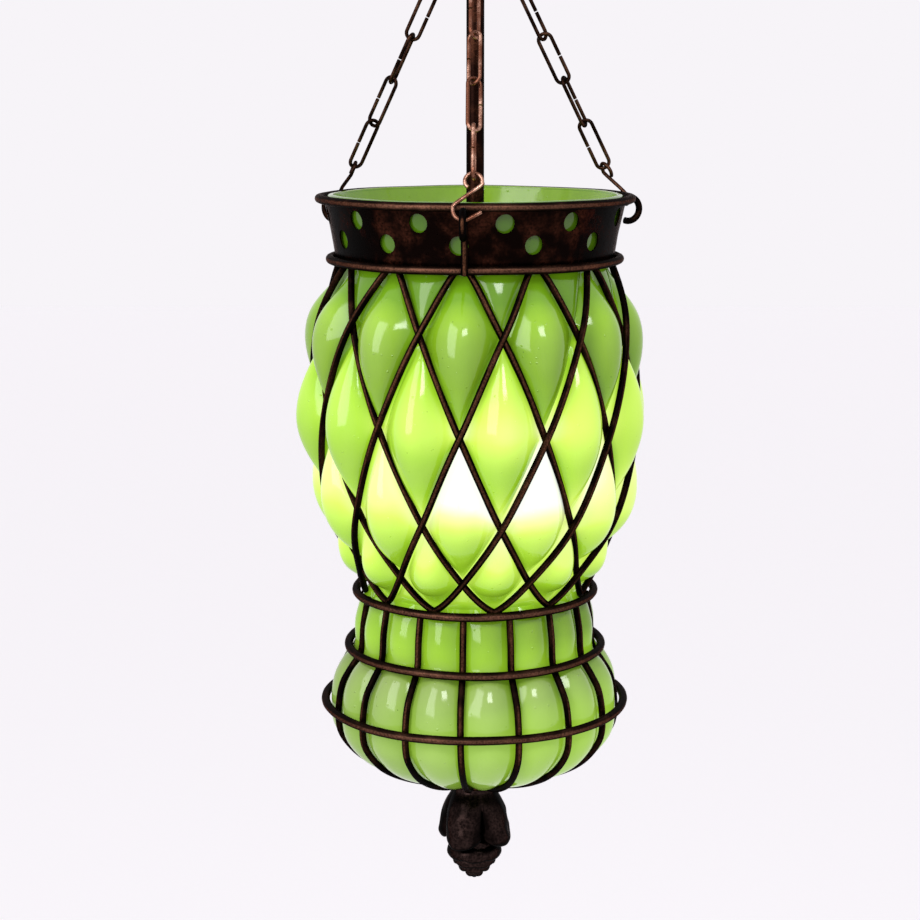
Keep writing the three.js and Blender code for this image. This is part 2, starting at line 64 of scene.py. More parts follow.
# Hoops of the cage: five rings of round bar, bent to a circle, butt-welded and patinated with the
# rest. The three lower ones stand outside the upright bars, the collar ring round the band.
RING_WIRE = 5
HOOPS = {  # the radius and the drop of each
    "rim_ring": (90.4, 0),
    "collar_ring": (84.6, 34.7),
    "neck_ring": (71.3, 232.9),
    "shoulder_ring": (76.3, 266.2),
    "belly_ring": (90.3, 300.3),
}
HAND_WAVE = 55 * MM  # distance over which hand work wanders out of true
HAND_ERROR = 0.7 * MM
HAND_SEED = 16  # so that the hand wanders the same way each time
TOUCHING = 0.02 * MM  # points that lie as near as this are one
BLOTCH = 14 * MM  # across a blotch of worn patina
HIGHLIGHT_FACING = 0.84  # the painted highlight starts where a face looks outwards as squarely as this
PIT_DEPTH = 0.12 * MM
DULL_EDGE = "786258"  # what a rod mirrors at its edges, too little to ring it in white


def at(radius, angle, drop):
    """The point at a radius and a drop in millimetres and an angle round the lamp in degrees."""
    turn = math.radians(angle)
    return Vector((radius * MM * math.sin(turn), -radius * MM * math.cos(turn), RIM_Z - drop * MM))


def by_hand(bm):
    """Puts a piece of the shade out of true as hand work does, and its neighbours with it."""
    for vert in bm.verts:
        vert.co += noise.noise_vector(vert.co / HAND_WAVE) * HAND_ERROR


def linear(code):
    """A colour's linear red, green, blue and alpha from its sRGB hex code."""
    shares = [int(code[k:k + 2], 16) / 255 for k in (0, 2, 4)]
    return [s / 12.92 if s <= 0.04045 else ((s + 0.055) / 1.055) ** 2.4 for s in shares] + [1]


def add(tree, kind, settings={}, sockets={}, out=0):
    """Adds a node with its settings, gives its sockets values or links, and returns an output."""
    made = tree.nodes.new("ShaderNode" + kind)
    for name, value in settings.items():
        setattr(made, name, value)
    for name, value in sockets.items():
        if isinstance(value, bpy.types.NodeSocket):
            tree.links.new(value, made.inputs[name])
        else:
            made.inputs[name].default_value = value
    return made.outputs[out]


def new_material(name):
    """A new material, with its tree of nodes and its shader."""
    made = bpy.data.materials.new(name)
    made.use_nodes = True
    return made, made.node_tree, made.node_tree.nodes["Principled BSDF"]


def patina(name, dark, rubbed, bare=0.5, outward=True, gloss=0.42, grain=0.9):
    """Brown-black patina over bronze: it is rubbed back to copper in blotches, has a copper highlight
    painted on the side that faces away from the lamp's axis where outward is set, has a fine pitted
    grain from the acid that coloured it, and is dull at its edges."""
    made, tree, shader = new_material(name)
    place = add(tree, "TexCoord", out="Object")
    blotches = add(tree, "TexNoise", {}, {"Vector": place, "Scale": 1 / BLOTCH, "Detail": 3})
    pits = add(tree, "TexNoise", {}, {"Vector": place, "Scale": 1 / (grain * MM), "Detail": 3})
    wear_and_sheen = add(tree, "MapRange", {"interpolation_type": "SMOOTHSTEP"}, {0: blotches, 1: 0.42, 2: 0.72})
    # Painted highlight: the side that faces away from the lamp's axis is painted as lit copper.
    if outward:
        level = add(tree, "VectorMath", {"operation": "MULTIPLY"}, {0: place, 1: (1, 1, 0)})
        away = add(tree, "VectorMath", {"operation": "NORMALIZE"}, {0: level})
        normal = add(tree, "TexCoord", out="Normal")
        painted_highlight = add(tree, "VectorMath", {"operation": "DOT_PRODUCT"}, {0: away, 1: normal}, out="Value")
        painted_highlight = add(tree, "MapRange", {"interpolation_type": "SMOOTHSTEP"}, {0: painted_highlight, 1: HIGHLIGHT_FACING, 2: 1.0})
        wear_and_sheen = add(tree, "Math", {"operation": "MULTIPLY_ADD"}, {0: wear_and_sheen, 1: 0.35, 2: painted_highlight})
    speckle = add(tree, "MapRange", {}, {0: pits, 1: 0.35, 2: 0.65, 3: 0.25, 4: 1.1})
    wear_and_sheen = add(tree, "Math", {"operation": "MULTIPLY"}, {0: wear_and_sheen, 1: speckle})
    wear_and_sheen = add(tree, "Math", {"operation": "MULTIPLY", "use_clamp": True}, {0: wear_and_sheen, 1: bare})
    colour = add(tree, "Mix", {"data_type": "RGBA"}, {0: wear_and_sheen, 6: linear(dark), 7: linear(rubbed)}, out=2)
    tree.links.new(colour, shader.inputs["Base Color"])
    rough = add(tree, "MapRange", {}, {0: pits, 1: 0.3, 2: 0.7, 3: gloss - 0.1, 4: gloss + 0.14})
    tree.links.new(rough, shader.inputs["Roughness"])
    shader.inputs["Metallic"].default_value = 0.9
    shader.inputs["Specular Tint"].default_value = linear(DULL_EDGE)
    bump = add(tree, "Bump", {}, {"Strength": 0.5, "Distance": PIT_DEPTH, "Height": pits}, out="Normal")
    tree.links.new(bump, shader.inputs["Normal"])
    return made


def finished(name, bm, material, body, replaced=(), sharp=50):
    """Makes a piece of a bmesh: turns its faces out, smooths it, names its colour and its body."""
    bmesh.ops.recalc_face_normals(bm, faces=bm.faces)
    mesh = bpy.data.meshes.new(name)
    bm.to_mesh(mesh)
    bm.free()
    mesh.shade_smooth()
    mesh.set_sharp_from_angle(angle=math.radians(sharp))
    mesh.materials.append(material)
    piece = bpy.data.objects.new(name, mesh)
    bpy.context.scene.collection.objects.link(piece)
    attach(piece, body)
    if replaced:
        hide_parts(*replaced)
    return piece


def spun(bm, profile, steps):
    """Turns a profile of radii and drops round the lamp's axis. It ends on the axis or is closed."""
    verts = [bm.verts.new(at(radius, 90, drop)) for radius, drop in profile]
    edges = [bm.edges.new(pair) for pair in zip(verts, verts[1:])]
    if profile[0][0] > 0:
        edges.append(bm.edges.new((verts[-1], verts[0])))
    bmesh.ops.spin(bm, geom=verts + edges, cent=(0, 0, 0), axis=(0, 0, 1), angle=2 * math.pi,
                   steps=steps, use_merge=True)
    bmesh.ops.remove_doubles(bm, verts=bm.verts, dist=TOUCHING)


def round_section(radius, drop, diameter, sides=14):
    """The profile of a hoop of round bar."""
    turns = [2 * math.pi * k / sides for k in range(sides)]
    return [(radius + diameter / 2 * math.cos(t), drop + diameter / 2 * math.sin(t)) for t in turns]


noise.seed_set(HAND_SEED)
ring_bronze = patina("patinated_bronze_hoop", "170d09", "6e4a3a", bare=0.75)
for name, (radius, drop) in HOOPS.items():
    bm = bmesh.new()
    spun(bm, round_section(radius, drop, RING_WIRE), steps=144)
    by_hand(bm)
    finished(name + "_bar", bm, ring_bronze, "shade", [name])


# Lattice: twenty-four wires, twelve of each hand, run from the collar ring down to the neck ring.
# Those that lean one way lie outside the others; each pair is brazed where it meets a ring.
CAGE_WIRE = 4
CAGE_PHASE = -5.6
DIAMONDS = 12
HALF_DIAMOND = 180 / DIAMONDS
LATTICE_ROWS = (  # the radius and the drop of each row of crossings
    (77.8, 31.5), (90.7, 71), (93.4, 126.5), (86.7, 178.8), (73.4, 213.5), (66.2, 231.6),
)
ROWS = len(LATTICE_ROWS) - 1
LATTICE_START = 0.2  # the wires start this far below their first crossing, in rows
BRAZED_ROWS = 1.8  # over so many rows above the neck ring the two hands close up
CROSSING_LIFT = 2.2  # how far each hand lies from the middle between the two
CELL = 20  # steps of the shade's surface along one side of a diamond


def smooth_line(knots, steps):
    """Points of one smooth line through the knots, so many steps to each stretch."""
    knots = [Vector(knot) for knot in knots]
    ends = [knots[0], *knots, knots[-1]]
    line = []
    for before, here, after, beyond in zip(ends, ends[1:], ends[2:], ends[3:]):
        leaves, arrives = here + (after - before) / 6, after - (beyond - here) / 6
        line += interpolate_bezier(here, leaves, arrives, after, steps + 1)[:-1]
    return line + [knots[-1]]


def smooth(x):
    """A share from 0 to 1, eased at both of its ends."""
    x = min(max(x, 0), 1)
    return x * x * (3 - 2 * x)


def pointing(place, direction):
    """The matrix that carries a shape to a place and turns its height along a direction."""
    return Matrix.Translation(place) @ direction.to_track_quat("Z", "Y").to_matrix().to_4x4()


def drawn(bm, path, diameter, sides=12):
    """Round bar bent along a path: a disc is pushed from point to point and turned with each bend."""
    heading = (path[1] - path[0]).normalized()
    disc = bmesh.ops.create_circle(bm, cap_ends=True, segments=sides, radius=diameter / 2 * MM,
                                   matrix=pointing(path[0], heading))
    end = disc["verts"][0].link_faces[0]
    for here, there, after in zip(path, path[1:], path[2:] + [None]):
        pushed = bmesh.ops.extrude_face_region(bm, geom=[end])["geom"]
        end = next(part for part in pushed if isinstance(part, bmesh.types.BMFace))
        bmesh.ops.translate(bm, verts=end.verts, vec=there - here)
        if after is not None:
            facing = ((there - here).normalized() + (after - there).normalized()).normalized()
            turn = heading.rotation_difference(facing).to_matrix()
            bmesh.ops.rotate(bm, cent=there, matrix=turn, verts=end.verts)
            heading = facing


lattice_line = smooth_line(LATTICE_ROWS, CELL)
bm = bmesh.new()
for hand in (-1, 1):
    for k in range(DIAMONDS):
        path = []
        for step in range(round(LATTICE_START * CELL), ROWS * CELL + 1, 2):
            row = step / CELL
            radius, drop = lattice_line[step]
            stands = -hand * CROSSING_LIFT * smooth(row) * smooth((ROWS - row) / BRAZED_ROWS)
            path.append(at(radius + stands, CAGE_PHASE + HALF_DIAMOND * (2 * k + hand * row), drop))
        drawn(bm, path, CAGE_WIRE, sides=10)
by_hand(bm)
wire_bronze = patina("patinated_bronze_wire", "060303", "6a4430", bare=0.55)
finished("lattice_wires", bm, wire_bronze, "shade", ["cage_lattice"])


# Lower bars: sixteen bars that run upright from the neck ring down inside the shoulder and belly
# rings, and are drawn in under the bowl to the finial's plate.
BARS = 16
BAR_LINE = (
    (66.2, 233.8), (69.2, 250), (70.8, 266.2), (77.2, 276.4), (82.6, 286), (85, 300.3),
    (84, 314.3), (76.9, 325.6), (67, 334.2), (53, 341.6), (36.5, 347.8), (17, 353),
)
BAR_STEPS = 4
bar_line = smooth_line(BAR_LINE, BAR_STEPS)
for k in range(BARS):
    bm = bmesh.new()
    angle = CAGE_PHASE + 360 / BARS * k
    drawn(bm, [at(radius, angle, drop) for radius, drop in bar_line], CAGE_WIRE)
    by_hand(bm)
    number = f"{k + 1:02d}"
    finished("lower_bar_" + number, bm, wire_bronze, "shade", ["cage_bar_" + number])


# Glass shade: opal green cased glass, blown hot into the finished cage, so that it swells through
# the diamonds and between the lower bars and is pinched in behind every wire. Fire-polished.
GLASS_MOUTH = ((85.6, -2.2), (84.4, 5), (81.4, 18.5), (79, 33))
MOUTH_STEPS = 6
GLASS_SINK = 5.5  # how far the glass is pinched in behind the crossings
BAR_SINK = 3.25  # and behind the lower bars
SINK_EASES = 2 / 3  # rows over which the one depth passes into the other
DIAMOND_BULGES = (0, 12, 15, 13.5, 11.2, 0)
DIAMOND_FULLNESS = 0.65
FULLER_LEFT = 0.2  # it swelled more on its left, by this share at most
FULLER_ROWS = (3.6, 2)  # rows between which that sets in, on the way up
PANEL_BULGES = (4.6, 6.3, 5.4, 6.7, 6, 5.2, 5, 4.8, 4.4, 3.8, 3, 1.4)
GLASS_WALL = 3.6
GLASS_JOINS = 0.05 * MM  # points of its stretches that lie as near as this are one
GLASS_MIDDLE = 172  # a drop about halfway down
LIP_HEIGHT = 1.2  # the lip's edges lie higher than this above the rim ring's middle
LIP_ROUND = 1.5
CORNER = math.radians(60)  # faces that turn by more than this meet in a corner
COLUMNS = DIAMONDS * CELL
NET_SIDE = 4  # the side of the sheet that the net is cut from, in diamonds' sides
NET_EDGES = (  # a point of each edge of one diamond's width, and its outer side
    ((0, 0), (-1, 0)), ((2, 0), (1, 0)), ((0, LATTICE_START), (0, -1)), ((0, ROWS), (0, 1)),
)
bulge_line = smooth_line(list(enumerate(DIAMOND_BULGES)), CELL)
panel_line = smooth_line(list(enumerate(PANEL_BULGES)), BAR_STEPS)
mouth_line = smooth_line([*GLASS_MOUTH, LATTICE_ROWS[0]], MOUTH_STEPS)[:-MOUTH_STEPS]


def between(place, ends):
    """The share of the way that a place has come from the first end to the last, eased."""
    first, last = ends
    return smooth((place - first) / (last - first))


def outward(line, index):
    """The outward normal, in radius and drop, of a line that runs down the lamp."""
    along = line[min(index + 1, len(line) - 1)] - line[max(index - 1, 0)]
    return Vector((along.y, -along.x)).normalized()


def in_diamonds(across, row):
    """The glass at a row of the lattice and a place across it, in half diamonds."""
    index = round(row * CELL)
    deeper = smooth(row / SINK_EASES) * smooth((ROWS - row) / SINK_EASES)
    sink = BAR_SINK + (GLASS_SINK - BAR_SINK) * deeper
    full = abs(math.sin(math.pi * (across - row) / 2) * math.sin(math.pi * (across + row) / 2))
    angle = CAGE_PHASE + HALF_DIAMOND * across
    left = (1 - math.sin(math.radians(angle))) / 2
    fuller = 1 + FULLER_LEFT * between(row, FULLER_ROWS) * left
    out = bulge_line[index].y * fuller * full ** DIAMOND_FULLNESS - sink
    radius, drop = lattice_line[index] + outward(lattice_line, index) * out
    return at(radius, angle, drop)


def in_panels(column, index):
    """The glass between the lower bars, at a column and a step down the bars."""
    full = abs(math.sin(math.pi * column * BARS / COLUMNS))
    place = bar_line[index]
    radius, drop = place + outward(bar_line, index) * (panel_line[index].y * full - BAR_SINK)
    return at(radius, CAGE_PHASE + 360 / COLUMNS * column, drop)


def flat_sheet(bm, columns, rows, place):
    """A sheet of so many columns and rows of faces, each corner carried to its place on the lamp."""
    sheet = bmesh.ops.create_grid(bm, x_segments=columns, y_segments=rows, size=1)["verts"]
    for vert in sheet:
        column, row = (vert.co.x + 1) / 2 * columns, (vert.co.y + 1) / 2 * rows
        vert.co = place(round(column), round(row))


# One diamond's width of the net is cut from a sheet that stands on its corner, and copied round.
bm = bmesh.new()
steps = NET_SIDE * CELL
net = bmesh.ops.create_grid(bm, x_segments=steps, y_segments=steps, size=NET_SIDE / 2)["verts"]
bmesh.ops.translate(bm, verts=net, vec=(1 - NET_SIDE / 2, NET_SIDE / 2, 0))
for vert in net:
    left, right = vert.co.x, vert.co.y
    vert.co = (left + right, right - left, 0)
for edge, outside in NET_EDGES:
    bmesh.ops.bisect_plane(bm, geom=bm.verts[:] + bm.edges[:] + bm.faces[:], dist=1e-6,
                           plane_co=(*edge, 0), plane_no=(*outside, 0), clear_outer=True)
cell = bm.verts[:] + bm.edges[:] + bm.faces[:]
for k in range(1, DIAMONDS):
    copied = bmesh.ops.duplicate(bm, geom=cell)["geom"]
    copied = [part for part in copied if isinstance(part, bmesh.types.BMVert)]
    bmesh.ops.translate(bm, verts=copied, vec=(2 * k, 0, 0))
for vert in bm.verts:
    vert.co = in_diamonds(round(vert.co.x * CELL) / CELL, round(vert.co.y * CELL) / CELL)


def mouth(column, step):
    """The plain glass of the mouth, down to the first row of the net."""
    if step == len(mouth_line):
        return in_diamonds(2 * column / CELL, LATTICE_START)
    return at(mouth_line[step].x, CAGE_PHASE + 360 / COLUMNS * column, mouth_line[step].y)


def bowl(column, step):
    """The glass below the net, from its last row down to the finial's plate."""
    return in_panels(column, step) if step else in_diamonds(2 * column / CELL, ROWS)


flat_sheet(bm, COLUMNS, len(mouth_line), mouth)
flat_sheet(bm, COLUMNS, len(bar_line) - 1, bowl)
bmesh.ops.remove_doubles(bm, verts=bm.verts, dist=GLASS_JOINS)
halfway = RIM_Z - GLASS_MIDDLE * MM
foot = [edge for edge in bm.edges if edge.is_boundary and edge.verts[0].co.z < halfway]
bmesh.ops.edgeloop_fill(bm, edges=foot)
by_hand(bm)
bmesh.ops.recalc_face_normals(bm, faces=bm.faces)
bmesh.ops.solidify(bm, geom=bm.faces, thickness=GLASS_WALL * MM)
lip_height = RIM_Z + LIP_HEIGHT * MM
lip = [edge for edge in bm.edges if all(vert.co.z > lip_height for vert in edge.verts)
       and edge.calc_face_angle(0) > CORNER]
bmesh.ops.bevel(bm, geom=lip, offset=LIP_ROUND * MM, segments=4, profile=0.5, affect="EDGES",
                material=-1)
bm.normal_update()

# Painted light: the bulb's light through the glass is painted on as the glass's own glow, much where
# it lies near the bulb and faces it, and over the bulb's upper half a white core, strongest on the side
# to which the bulb hangs. The neck and the bowl glow evenly, one side of them painted brighter than
# the other. Under the collar the glass is painted dark, as the collar's shadow; in the bowl it's thin
# and pale.
GLOW_MIDDLE = at(0, 0, 154) + Vector((2.5, 2, 0)) * MM
GLOW_REACH = 118 * MM  # how far off the glow would be full
GLOW_FADES = 4.56  # it fades by this power of the distance
GLOW_TURNS = 1.14  # and by this one of how squarely the glass faces the bulb
GLOW_UP = (0.34, 0.2)  # what upright glass takes, and how much more as it leans up
GLOW_LEAST = 0.07  # what all glass takes, however it leans
GLOW_LIMIT = 0.64  # a lime that only the core passes
CORE_DROP = 152
CORE_HEIGHT = 31
CORE_GLOW = 2
CORE_UP = (0.3, 0.61)
CORE_SIDE = (at(1, 12, 0) - at(0, 0, 0)) / MM
CORE_NARROWS = 5  # it fades sideways by this power
CORE_BEHIND = 0.15
EVEN_DROPS = (226, 238)  # where the even glow takes over
BOWL_GLOW = 0.3
BOWL_UP = 0.35  # what is lost where the glass looks up
NECK_RIGHT = -0.07  # how much brighter the right side of the neck is painted
BOWL_RIGHT = 0.17  # and how much more than that the bowl's
BOWL_DROPS = (250, 268)
COLLAR_SHADOW_DROPS = (64, 38)  # where the collar's painted shadow darkens the glass
THIN_DROPS = (250, 280)  # and where it thins down the bowl
PINCHED_DROPS = (36, 46)  # where the wires begin to pinch it
PINCHED = 0.38  # how much thicker it is behind a wire
SWOLLEN = 0.5  # and how much thinner than that at the crown of a swelling
SWELLING = 14  # from the glass behind a wire to the crown of a swelling
UNDERSIDE = -0.4  # a normal that leans down by more than this is the underside's


def swelling(radius, drop):
    """How far the glass stands out at a place: 0 behind a wire and 1 at the crown of a swelling."""
    line = lattice_line if drop < LATTICE_ROWS[-1][1] else bar_line
    beside = next((point for point in line if point.y >= drop), line[-1])
    return smooth((radius - beside.x + GLASS_SINK) / SWELLING)


# The painted glow: how much of the bulb's light each place of the glass is given as emission.
painted_light_layer = bm.verts.layers.float.new("glow")
# The thickness attribute holds the glass's thickness and also the collar's painted shadow.
thickness_and_shade_layer = bm.verts.layers.float.new("thickness")
for vert in bm.verts:
    drop = (RIM_Z - vert.co.z) / MM
    ray = vert.co - GLOW_MIDDLE
    level = Vector((vert.co.x, vert.co.y, 0)).normalized()
    outside = vert.normal.dot(level) > 0
    away = vert.normal if outside or vert.normal.z < UNDERSIDE else -vert.normal
    facing = max(away.dot(ray.normalized()), 0) ** GLOW_TURNS
    upper = GLOW_LEAST + (1 - GLOW_LEAST) * smooth(GLOW_UP[0] + GLOW_UP[1] * away.z)
    near = min(facing * upper * (GLOW_REACH / ray.length) ** GLOW_FADES, GLOW_LIMIT)
    core = CORE_GLOW * math.exp(-((drop - CORE_DROP) / CORE_HEIGHT) ** 2)
    core *= smooth(CORE_UP[0] + CORE_UP[1] * away.z)
    near += core * max(max(level.dot(CORE_SIDE), 0) ** CORE_NARROWS, CORE_BEHIND)
    right = level.x * (NECK_RIGHT + BOWL_RIGHT * between(drop, BOWL_DROPS))
    even = BOWL_GLOW - BOWL_UP * max(away.z, 0) + right
    below = between(drop, EVEN_DROPS)
    vert[painted_light_layer] = min(near, 1) * (1 - below) + even * below
    # Painted shadow: the outer glass behind and under the collar band is darkened as in its shade.
    collar_shadow = between(drop, COLLAR_SHADOW_DROPS) if outside else 0
    pinched = PINCHED - SWOLLEN * swelling(vert.co.xy.length / MM, drop)
    thickness = 0.5 + 0.5 * collar_shadow - 0.5 * between(drop, THIN_DROPS)
    vert[thickness_and_shade_layer] = thickness + between(drop, PINCHED_DROPS) * pinched

CLOUD = 38 * MM  # across a milky cloud of the opal
STREAK = 7 * MM  # across a streak that blowing drew out
FLECK = 9 * MM  # from a dark fleck to the next
WAVE = 13 * MM  # across a wave of the skin
SEED = 6 * MM  # from a bubble under the skin to the next
SKIN_DEPTH = 0.7 * MM
OPAL_GREENS = ("789e1c", "89ac34")
THIN_GREEN = "98b066"
# deep green of thick glass, also used for the painted shadow under the collar
THICK_AND_SHADED_GREEN = "3c6a06"
FLECK_GREEN = "27340f"
GLOW_COLOURS = (  # unlit, then lime and yellow up to the white of the core
    (0.0, "000000"), (0.2, "4a6c0a"), (0.4, "8ab824"), (0.6, "ccec5c"), (0.82, "f8ffb4"),
    (1.0, "ffffff"),
)


def opal_glass(name):
    """Opal green glass cased in clear: it is a deep green where the bubble is thick and where the collar's
    shadow is painted, milky where it is thin, has a fire-polished gloss, and carries the bulb's light
    painted on as a glow from lime through yellow to white near the bulb."""
    made, tree, shader = new_material(name)
    place = add(tree, "TexCoord", out="Object")
    clouds = add(tree, "TexNoise", {}, {"Vector": place, "Scale": 1 / CLOUD, "Detail": 2})
    streaks = add(tree, "VectorMath", {"operation": "MULTIPLY"}, {0: place, 1: (1, 1, 0.25)})
    streaks = add(tree, "TexNoise", {}, {"Vector": streaks, "Scale": 1 / STREAK, "Detail": 2})
    cloudy = add(tree, "Math", {"operation": "MULTIPLY_ADD"}, {0: streaks, 1: 0.35, 2: clouds})
    cloudy = add(tree, "MapRange", {}, {0: cloudy, 1: 0.45, 2: 0.9})
    clear, milky = (linear(code) for code in OPAL_GREENS)
    body = add(tree, "Mix", {"data_type": "RGBA"}, {0: cloudy, 6: clear, 7: milky}, out=2)
    # thickness, with the collar's painted shadow in it
    thick = add(tree, "Attribute", {"attribute_name": "thickness"}, out="Fac")
    pale = add(tree, "MapRange", {}, {0: thick, 1: 0.5, 2: 0.0})
    body = add(tree, "Mix", {"data_type": "RGBA"}, {0: pale, 6: body, 7: linear(THIN_GREEN)}, out=2)
    deep = add(tree, "MapRange", {}, {0: thick, 1: 0.5, 2: 1.0, 4: 0.8})
    body = add(tree, "Mix", {"data_type": "RGBA"}, {0: deep, 6: body, 7: linear(THICK_AND_SHADED_GREEN)}, out=2)
    flecks = add(tree, "TexVoronoi", {}, {"Vector": place, "Scale": 1 / FLECK})
    flecks = add(tree, "Math", {"operation": "LESS_THAN"}, {0: flecks, 1: 0.035})
    body = add(tree, "Mix", {"data_type": "RGBA"}, {0: flecks, 6: body, 7: linear(FLECK_GREEN)}, out=2)
    tree.links.new(body, shader.inputs["Base Color"])
    shader.inputs["Roughness"].default_value = 0.35
    shader.inputs["IOR"].default_value = 1.5
    shader.inputs["Specular IOR Level"].default_value = 0.0
    shader.inputs["Coat Weight"].default_value = 1.0
    shader.inputs["Coat Roughness"].default_value = 0.12
    # Painted light: the bulb's light through the glass, given as the glass's own emission.
    glow = add(tree, "Attribute", {"attribute_name": "glow"}, out="Fac")
    lit = tree.nodes.new("ShaderNodeValToRGB")
    tree.links.new(glow, lit.inputs[0])
    lit.color_ramp.elements.remove(lit.color_ramp.elements[0])
    for index, (where, code) in enumerate(GLOW_COLOURS):
        stop = lit.color_ramp.elements[0] if index == 0 else lit.color_ramp.elements.new(where)
        stop.position = where
        stop.color = linear(code)
    tree.links.new(lit.outputs[0], shader.inputs["Emission Color"])
    shader.inputs["Emission Strength"].default_value = 1.0
    waves = add(tree, "TexNoise", {}, {"Vector": place, "Scale": 1 / WAVE, "Detail": 1})
    seeds = add(tree, "TexVoronoi", {}, {"Vector": place, "Scale": 1 / SEED})
    seeds = add(tree, "MapRange", {}, {0: seeds, 1: 0.05, 2: 0.11, 3: 0.5, 4: 0.0})
    skin = add(tree, "Math", {"operation": "ADD"}, {0: waves, 1: seeds})
    bump = add(tree, "Bump", {}, {"Strength": 0.7, "Distance": SKIN_DEPTH, "Height": skin}, out="Normal")
    tree.links.new(bump, shader.inputs["Normal"])
    tree.links.new(bump, shader.inputs["Coat Normal"])
    return made


green_glass = opal_glass("cased_opal_green_glass")
finished("blown_glass", bm, green_glass, "shade", ["glass_shade"], sharp=75)


# Collar band: bronze sheet rolled to a flared band between the rim and collar rings, punched with
# two staggered rows of round holes through which the glass shows. No lap or rivet shows on it.
BAND_LINE = ((87.4, 0.6), (83.7, 18.5), (81.2, 35))
BAND_THICKNESS = 0.9
BAND_RADIUS = 84  # at its middle
BAND_HOLE_DROPS = (9.2, 21.3)
BAND_HOLE_RADIUS = 5.3
HOLE_UNEVEN = 0.35  # by how much a hole is wider or narrower, at most
PUNCH_LENGTH = 14
FIRST_HOLE = 9  # an angle
HOLE_STEP = 15  # from a hole to the next one, in the other row
HOLE_SLIPS = (  # how far each hole was punched from its place, in degrees
    1.6, -1.6, -1, -2.1, 1.6, 0.7, -1.2, 0.4, 1.4, -0.6, -1.5, 0.8, 1.1, -0.4, -1.3, 0.6, 1.5, -0.9,
    0.5, 2.2, 0, -0.1, -0.8, -0.6,
)


def rod(bm, radius, length, place, sides=32):
    """A straight rod of a radius and a length in millimetres, set by a matrix."""
    bmesh.ops.create_cone(bm, cap_ends=True, segments=sides, radius1=radius * MM, radius2=radius * MM,
                          depth=length * MM, matrix=place)


def cut_out(piece, bm, kind="DIFFERENCE", sharp=40):
    """Cuts the closed bodies of a bmesh out of a piece, joins them to it, or keeps what they share."""
    mesh = bpy.data.meshes.new("tool")
    bm.to_mesh(mesh)
    bm.free()
    tool = bpy.data.objects.new("tool", mesh)
    bpy.context.scene.collection.objects.link(tool)
    change = piece.modifiers.new("change", "BOOLEAN")
    change.operation, change.object, change.solver = kind, tool, "EXACT"
    bpy.context.view_layer.update()
    evaluated = piece.evaluated_get(bpy.context.evaluated_depsgraph_get())
    changed = bpy.data.meshes.new_from_object(evaluated)
    piece.modifiers.clear()
    bm = bmesh.new()
    bm.from_mesh(changed)
    bm.to_mesh(piece.data)
    bm.free()
    piece.data.set_sharp_from_angle(angle=math.radians(sharp))
    bpy.data.objects.remove(tool)


band_line = smooth_line(BAND_LINE, 6)
bm = bmesh.new()
inside = [(radius - BAND_THICKNESS, drop) for radius, drop in reversed(band_line)]
spun(bm, band_line + inside, steps=192)
by_hand(bm)
sheet_bronze = patina("patinated_bronze_sheet", "0a0403", "4c281c", bare=0.6, outward=False,
                      gloss=0.28, grain=1.6)
band = finished("collar_sheet", bm, sheet_bronze, "shade", ["collar_band"], sharp=40)
bm = bmesh.new()
for k, slip in enumerate(HOLE_SLIPS):
    angle = FIRST_HOLE + HOLE_STEP * k + slip
    place = pointing(at(BAND_RADIUS, angle, BAND_HOLE_DROPS[k % 2]), at(1, angle, 0) - at(0, angle, 0))
    rod(bm, BAND_HOLE_RADIUS + HOLE_UNEVEN * noise.noise(Vector((k, 3, 7))), PUNCH_LENGTH, place)
cut_out(band, bm)


# Posts: three bars brazed to the collar ring that pass up outside the rim ring, each curled
# outwards at its top into an eye for an S-hook.
EYE_ANGLES = {"front": -4, "right": 113, "left": -121.5}
CHAIN_TOP = Vector((16.5, -142.3))  # radius and drop of the chain's upper end
CHAIN_FOOT = Vector((98.3, 5.9))
CHAIN_WIRE = 2.2
EYE_CURL = 7.3  # the radius of the bar's middle line round the eye
EYE_TURNS = range(190, -112, -15)  # angles round the eye, from the post to its open end
HOOK_SLACK = 0.9
POST_GAP = 0.2  # filled by the braze, between the post and the collar ring
POST_LINE = ((0, 36.9), (0.1, 30), (0.4, 22), (1.5, 14))  # how far it leans out at each drop
WELD_RADIUS = 2.3
WELD_PLACE = (-1.2, 35.2)  # how far outwards of the post, and a drop
WELD_LUMP = 1.5 * MM
WELD_UNEVEN = 0.35
up_chain = (CHAIN_TOP - CHAIN_FOOT).normalized()
below_hook = EYE_CURL - CAGE_WIRE / 2 - CHAIN_WIRE / 2 - HOOK_SLACK
curl_middle = CHAIN_FOOT - up_chain * below_hook
post_radius = HOOPS["collar_ring"][0] + (RING_WIRE + CAGE_WIRE) / 2 + POST_GAP
for side, angle in EYE_ANGLES.items():
    line = [(post_radius + lean, drop) for lean, drop in POST_LINE]
    for turn in EYE_TURNS:
        line.append((curl_middle.x + EYE_CURL * math.cos(math.radians(turn)),
                     curl_middle.y - EYE_CURL * math.sin(math.radians(turn))))
    bm = bmesh.new()
    drawn(bm, [at(radius, angle, drop) for radius, drop in smooth_line(line, 2)], CAGE_WIRE, sides=14)
    weld = bmesh.ops.create_icosphere(bm, subdivisions=2, radius=WELD_RADIUS * MM)["verts"]
    middle = at(post_radius + WELD_PLACE[0], angle, WELD_PLACE[1])
    for vert in weld:
        vert.co = vert.co * (1 + WELD_UNEVEN * noise.noise(vert.co / WELD_LUMP)) + middle
    by_hand(bm)
    finished("eye_post_" + side, bm, wire_bronze, "shade", ["post_" + side])


# Finial: a plate that gathers the bars, and under it a casting of folded leaves over a cone of
# scales, nearly black. Leaves and cone are one lost-wax casting each.
PLATE = ((0, 352.6), (13.6, 352.6), (14.4, 353.4), (14.4, 355.8), (13.6, 356.6), (0, 356.6))
bm = bmesh.new()
spun(bm, PLATE, steps=48)
finished("gathering_plate", bm, wire_bronze, "shade", ["finial_plate"])

